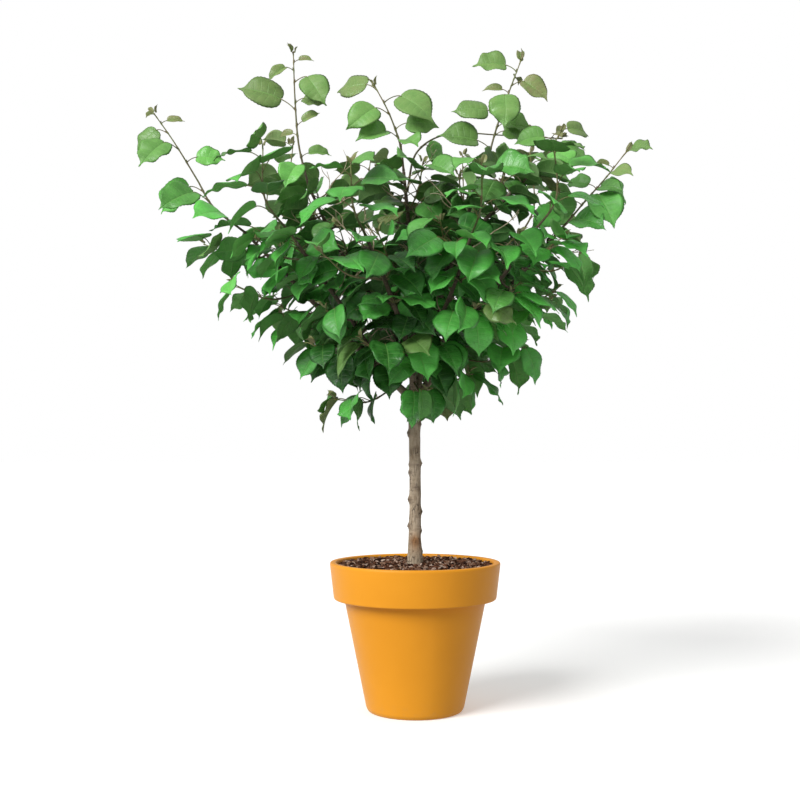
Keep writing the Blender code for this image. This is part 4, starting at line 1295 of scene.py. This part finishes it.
# The rusty patch near the foot, as a knot that doesn't stand out
RUST_PATCH = (0.292, 275, 0, 0.016, 55)
WOOD_VOXEL = 0.0014


def knot_strength(z, bearing, knot):
    """From 0 to 1, how much of a knot there is at a height and bearing on the trunk."""
    height, around, _, tall, wide = knot
    turn = (bearing - around + 180) % 360 - 180
    return math.exp(-((z - height) / tall) ** 2 - (turn / wide) ** 2)


def wood_tube(centres, radii, sides):
    """A tube as a mesh object, for the wood's solid."""
    points, faces = tube_points(centres, radii, sides)
    mesh = bpy.data.meshes.new("wood")
    mesh.from_pydata(points, [], faces)
    return in_scene("wood", mesh)


def make_wood(material):
    """Trunk and branches as one skin: tubes joined by a fine remesh, then swollen at knots and roughened."""
    stations = [Vector(station[:3]) for station in TRUNK_LINE]
    girths = [Vector((station[3], 0, 0)) for station in TRUNK_LINE]
    steps = 70
    centres = [along(stations, k / steps) for k in range(steps + 1)]
    radii = [along(girths, k / steps).x for k in range(steps + 1)]
    tubes = [wood_tube(centres, radii, 28)]
    samples = list(zip(centres, radii))
    for name in BRANCHES:
        line = branch_line(name)
        steps = 26
        centres = [along(line, k / steps) for k in range(steps + 1)]
        radii = []
        for k in range(steps + 1):
            flare = 1 + 0.38 * math.exp(-k / steps / 0.05)
            ring = 1 + 0.10 * math.exp(-(((k / steps * 5 + 0.5) % 1 - 0.5) / 0.10) ** 2)
            radii.append(branch_radius(name, k / steps) * flare * ring)
        tubes.append(wood_tube(centres, radii, 14))
        samples += list(zip(centres, radii))
    bpy.ops.object.select_all(action="DESELECT")
    for thing in tubes:
        thing.select_set(True)
    bpy.context.view_layer.objects.active = tubes[0]
    bpy.ops.object.join()
    rough = bpy.context.object
    remesh = rough.modifiers.new("skin", "REMESH")
    remesh.mode = "VOXEL"
    remesh.voxel_size = WOOD_VOXEL
    remesh.adaptivity = 0.0
    smooth = rough.modifiers.new("smooth", "SMOOTH")
    smooth.factor = 0.5
    smooth.iterations = 3
    mesh = evaluated_mesh(rough)

    tree = point_tree([centre for centre, _ in samples])
    knots = []
    youths = []
    rusts = []
    moved = []
    for vertex in mesh.vertices:
        co = vertex.co
        centre, index, _ = tree.find(co)
        girth = samples[index][1]
        out = vertex.normal
        push = (noise.noise(co * 60) * 0.35 + noise.noise(Vector((co.x * 160, co.y * 160, co.z * 45))) * 0.25)
        push *= 0.0016 * min(1.0, girth / 0.009)
        knot = 0.0
        rust = 0.0
        if co.z < 0.54 and co.x * co.x + co.y * co.y < 0.0009:
            bearing = math.degrees(math.atan2(co.y, co.x))
            for one in KNOTS:
                strength = knot_strength(co.z, bearing, one)
                knot = max(knot, strength)
                push += one[2] * strength * (1 + 0.5 * noise.noise(co * 500))
            rust = knot_strength(co.z, bearing, RUST_PATCH)
        knots.append(knot)
        rusts.append(rust)
        youths.append(clamp((0.0085 - girth) / 0.0045))
        moved.append(co + out * push)
    for vertex, co in zip(mesh.vertices, moved):
        vertex.co = co
    mesh.name = "bark_skin"
    mesh = finished(mesh, material, {"knot": knots, "rust": rusts, "youth": youths})
    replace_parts(placed("bark_skin", mesh), "trunk_and_branches")


# ------------------------------------------------------------------ pot and mulch

POT_SEGMENTS = 288
POT_EDGE = 0.0022                  # how far its corners are rounded


def rounded(profile, radius, steps=5):
    """A profile with its corners rounded off."""
    points = [Vector(p) for p in profile]
    soft = [points[0]]
    for before, here, after in zip(points, points[1:], points[2:]):
        back = before - here
        on = after - here
        cut = min(radius, back.length * 0.45, on.length * 0.45)
        start = here + back.normalized() * cut
        end = here + on.normalized() * cut
        for k in range(steps + 1):
            s = k / steps
            soft.append(start * (1 - s) ** 2 + here * 2 * s * (1 - s) + end * s * s)
    soft.append(points[-1])
    return soft


def make_pot(material):
    """The pot with soft moulded edges."""
    step = POT_HEIGHT - RIM_BAND_HEIGHT
    foot = BODY_FOOT_RADIUS
    mouth = RIM_RADIUS - LIP_THICKNESS
    outside = rounded((
        (0, 0), (foot - 0.022, 0), (foot - 0.020, 0.0016), (foot - 0.014, 0.0016), (foot - 0.012, 0),
        (foot - 0.0035, 0), (foot, FOOT_ROUNDING), (BODY_TOP_RADIUS, step - 0.001),
        (RIM_FOOT_RADIUS - 0.001, step), (RIM_FOOT_RADIUS, step + 0.0016),
        (RIM_RADIUS, POT_HEIGHT - 0.004), (RIM_RADIUS - 0.0008, POT_HEIGHT - 0.0006),
        (RIM_RADIUS - LIP_THICKNESS / 2, POT_HEIGHT), (mouth + 0.0012, POT_HEIGHT - 0.0008),
        (mouth, POT_HEIGHT - 0.004)), POT_EDGE)
    inside = rounded((
        (mouth, POT_HEIGHT - 0.004), (RIM_FOOT_RADIUS - WALL, step + WALL + 0.003),
        (BODY_TOP_RADIUS - WALL, step + WALL - 0.004), (foot - WALL + 0.001, FLOOR), (0, FLOOR)), POT_EDGE)
    profile = outside + inside[1:]
    bm = bmesh.new()
    rings = []
    for point in profile:
        radius, height = point
        if radius < 1e-6:
            rings.append([bm.verts.new((0, 0, height))] * POT_SEGMENTS)
            continue
        rings.append([bm.verts.new((radius * math.cos(math.tau * k / POT_SEGMENTS),
                                    radius * math.sin(math.tau * k / POT_SEGMENTS), height))
                      for k in range(POT_SEGMENTS)])
    for lower, upper in zip(rings, rings[1:]):
        for k in range(POT_SEGMENTS):
            following = (k + 1) % POT_SEGMENTS
            corners = list(dict.fromkeys((lower[k], lower[following], upper[following], upper[k])))
            bm.faces.new(corners)
    bmesh.ops.recalc_face_normals(bm, faces=bm.faces)
    mesh = bpy.data.meshes.new("pot_moulded")
    bm.to_mesh(mesh)
    bm.free()
    pot = in_scene("pot_moulded", mesh)
    cutters = []
    for k in range(DRAIN_COUNT):
        turn = math.tau * (k + 0.5) / DRAIN_COUNT
        x, y = DRAIN_CIRCLE_RADIUS * math.cos(turn), DRAIN_CIRCLE_RADIUS * math.sin(turn)
        bm = bmesh.new()
        bmesh.ops.create_cone(bm, cap_ends=True, segments=40, radius1=DRAIN_RADIUS, radius2=DRAIN_RADIUS,
                              depth=FLOOR * 3, matrix=Matrix.Translation((x, y, 0)))
        cut_mesh = bpy.data.meshes.new("drain_cut")
        bm.to_mesh(cut_mesh)
        bm.free()
        cutter = in_scene("drain_cut", cut_mesh)
        cutters.append(cutter)
        drain = pot.modifiers.new(f"drain_{k + 1}", "BOOLEAN")
        drain.operation = "DIFFERENCE"
        drain.object = cutter
    cut = evaluated_mesh(pot)
    for cutter in cutters:
        bpy.data.objects.remove(cutter, do_unlink=True)
    inner = []
    for vertex in cut.vertices:
        radius = math.hypot(vertex.co.x, vertex.co.y)
        wall = BODY_FOOT_RADIUS + (BODY_TOP_RADIUS - BODY_FOOT_RADIUS) * min(vertex.co.z / step, 1)
        if vertex.co.z > step:
            wall = RIM_FOOT_RADIUS + (RIM_RADIUS - RIM_FOOT_RADIUS) * (vertex.co.z - step) / RIM_BAND_HEIGHT
        inner.append(1.0 if radius < wall - WALL * 0.6 and 0.004 < vertex.co.z < POT_HEIGHT - 0.003 else 0.0)
    cut = finished(cut, material, {"inside": inner}, 50)
    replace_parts(placed("pot_moulded", cut), "pot")


def make_mulch(material):
    """Loose chips of composted bark over the soil."""
    rng = random.Random("mulch")
    bm = bmesh.new()
    bmesh.ops.create_icosphere(bm, subdivisions=2, radius=1.0)
    ball = np.array([v.co[:] for v in bm.verts])
    ball_faces = [[v.index for v in f.verts] for f in bm.faces]
    bm.free()
    points = []
    faces = []
    tones = []
    inner_radius = RIM_RADIUS - LIP_THICKNESS - 0.0015
    for _ in range(CHIP_COUNT):
        far = math.sqrt(rng.uniform(0.018 ** 2, inner_radius ** 2))
        turn = rng.uniform(0, math.tau)
        long = rng.choice((1.0, 1.0, 1.3, 1.8)) * rng.uniform(0.0026, 0.0050)
        size = np.array((long, rng.uniform(0.0021, 0.0040), rng.uniform(0.0014, 0.0028)))
        spot = np.array([rng.uniform(-50, 50) for _ in range(3)])
        jag = np.array([noise.noise(Vector(p * 1.1 + spot)) for p in ball])
        body = ball * (1 + 0.75 * jag[:, None])
        for _ in range(4):
            plane = np.array(heading_vector(rng.uniform(0, 360), rng.uniform(-90, 90)))
            over = np.clip(body @ plane - rng.uniform(0.45, 0.8), 0, None)
            body = body - over[:, None] * plane
        tilt = Matrix.Rotation(rng.uniform(0, math.tau), 3, "Z")
        tilt = tilt @ Matrix.Rotation(rng.gauss(0, 0.5), 3, "X")
        tilt = tilt @ Matrix.Rotation(rng.gauss(0, 0.4), 3, "Y")
        body = (body * size) @ np.array(tilt).T
        reach = np.abs(body[:, :2]).max()
        far = min(far, inner_radius - reach)
        level = SOIL_LEVEL + SOIL_MOUND * (1 - far / inner_radius) ** 2 + rng.uniform(-0.0004, 0.0022)
        body += (far * math.cos(turn), far * math.sin(turn), level)
        body[:, 2] = np.minimum(body[:, 2], POT_HEIGHT - 0.0008 + 0.004 * max(0, 1 - far / 0.05))
        count = len(points) * len(ball)
        points.append(body)
        faces += [[corner + count for corner in face] for face in ball_faces]
        tone = rng.random() ** 1.3 * 0.62 if rng.random() < 0.62 else rng.uniform(0.62, 1.0)
        tones.append(np.full(len(ball), tone))
    mesh = bpy.data.meshes.new("bark_mulch")
    mesh.from_pydata(np.concatenate(points).tolist(), [], faces)
    mesh = finished(mesh, material, {"chip_tone": np.concatenate(tones)}, 38)
    placed("bark_mulch", mesh)


# ------------------------------------------------------------------ studio

def make_studio():
    """A pale floor, soft light from the upper left in front, a white backdrop and the camera."""
    mesh = bpy.data.meshes.new("floor")
    corners = ((-1, -1), (1, -1), (1, 1), (-1, 1))
    mesh.from_pydata([(x * FLOOR_REACH, y * FLOOR_REACH, 0) for x, y in corners], [], [(0, 1, 2, 3)])
    mesh.materials.append(floor_material())
    floor = in_scene("floor", mesh)
    floor.location.z = -FLOOR_DROP
    floor.visible_diffuse = False

    world = bpy.data.worlds.new("studio")
    bpy.context.scene.world = world
    world.use_nodes = True
    tree = world.node_tree
    background = tree.nodes["Background"]
    background.inputs["Color"].default_value = WHITE
    height = tree.nodes.new("ShaderNodeSeparateXYZ")
    tree.links.new(tree.nodes.new("ShaderNodeTexCoord").outputs["Generated"], height.inputs[0])
    sky = tree.nodes.new("ShaderNodeMapRange")
    ends = ("From Min", "From Max", "To Min", "To Max")
    for end, value in zip(ends, (*SKY_SPAN, GROUND_LIGHT, SKY_LIGHT)):
        sky.inputs[end].default_value = value
    tree.links.new(height.outputs[2], sky.inputs["Value"])
    tree.links.new(sky.outputs[0], background.inputs["Strength"])
    backdrop = tree.nodes.new("ShaderNodeBackground")
    backdrop.inputs["Color"].default_value = WHITE
    backdrop.inputs["Strength"].default_value = 1.0
    path = tree.nodes.new("ShaderNodeLightPath")
    chosen = tree.nodes.new("ShaderNodeMixShader")
    tree.links.new(path.outputs["Is Camera Ray"], chosen.inputs[0])
    tree.links.new(background.outputs[0], chosen.inputs[1])
    tree.links.new(backdrop.outputs[0], chosen.inputs[2])
    tree.links.new(chosen.outputs[0], tree.nodes["World Output"].inputs["Surface"])

    key = bpy.data.lights.new("key", "SUN")
    key.energy = KEY_LIGHT
    key.angle = math.radians(KEY_SPREAD)
    key_object = in_scene("key", key)
    key_object.rotation_euler = heading_vector(*KEY_FROM).to_track_quat("Z", "Y").to_euler()

    camera = bpy.data.cameras.new("camera")
    camera.lens = CAMERA_LENS
    camera.sensor_width = CAMERA_SENSOR
    camera.clip_start, camera.clip_end = CAMERA_RANGE
    camera_object = in_scene("camera", camera)
    camera_object.location = CAMERA_PLACE
    camera_object.rotation_euler = (math.radians(CAMERA_TILT), 0, 0)
    scene = bpy.context.scene
    scene.camera = camera_object
    scene.view_settings.view_transform = "Standard"
    scene.view_settings.look = "None"


def main():
    """Builds everything round the frame."""
    make_studio()
    make_pot(pot_material())
    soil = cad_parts["soil"].data.materials
    soil.clear()
    soil.append(soil_material())
    make_mulch(chip_material())
    make_wood(bark_material())
    make_shoots()
    make_spurs()
    make_twigs(twig_material())


main()
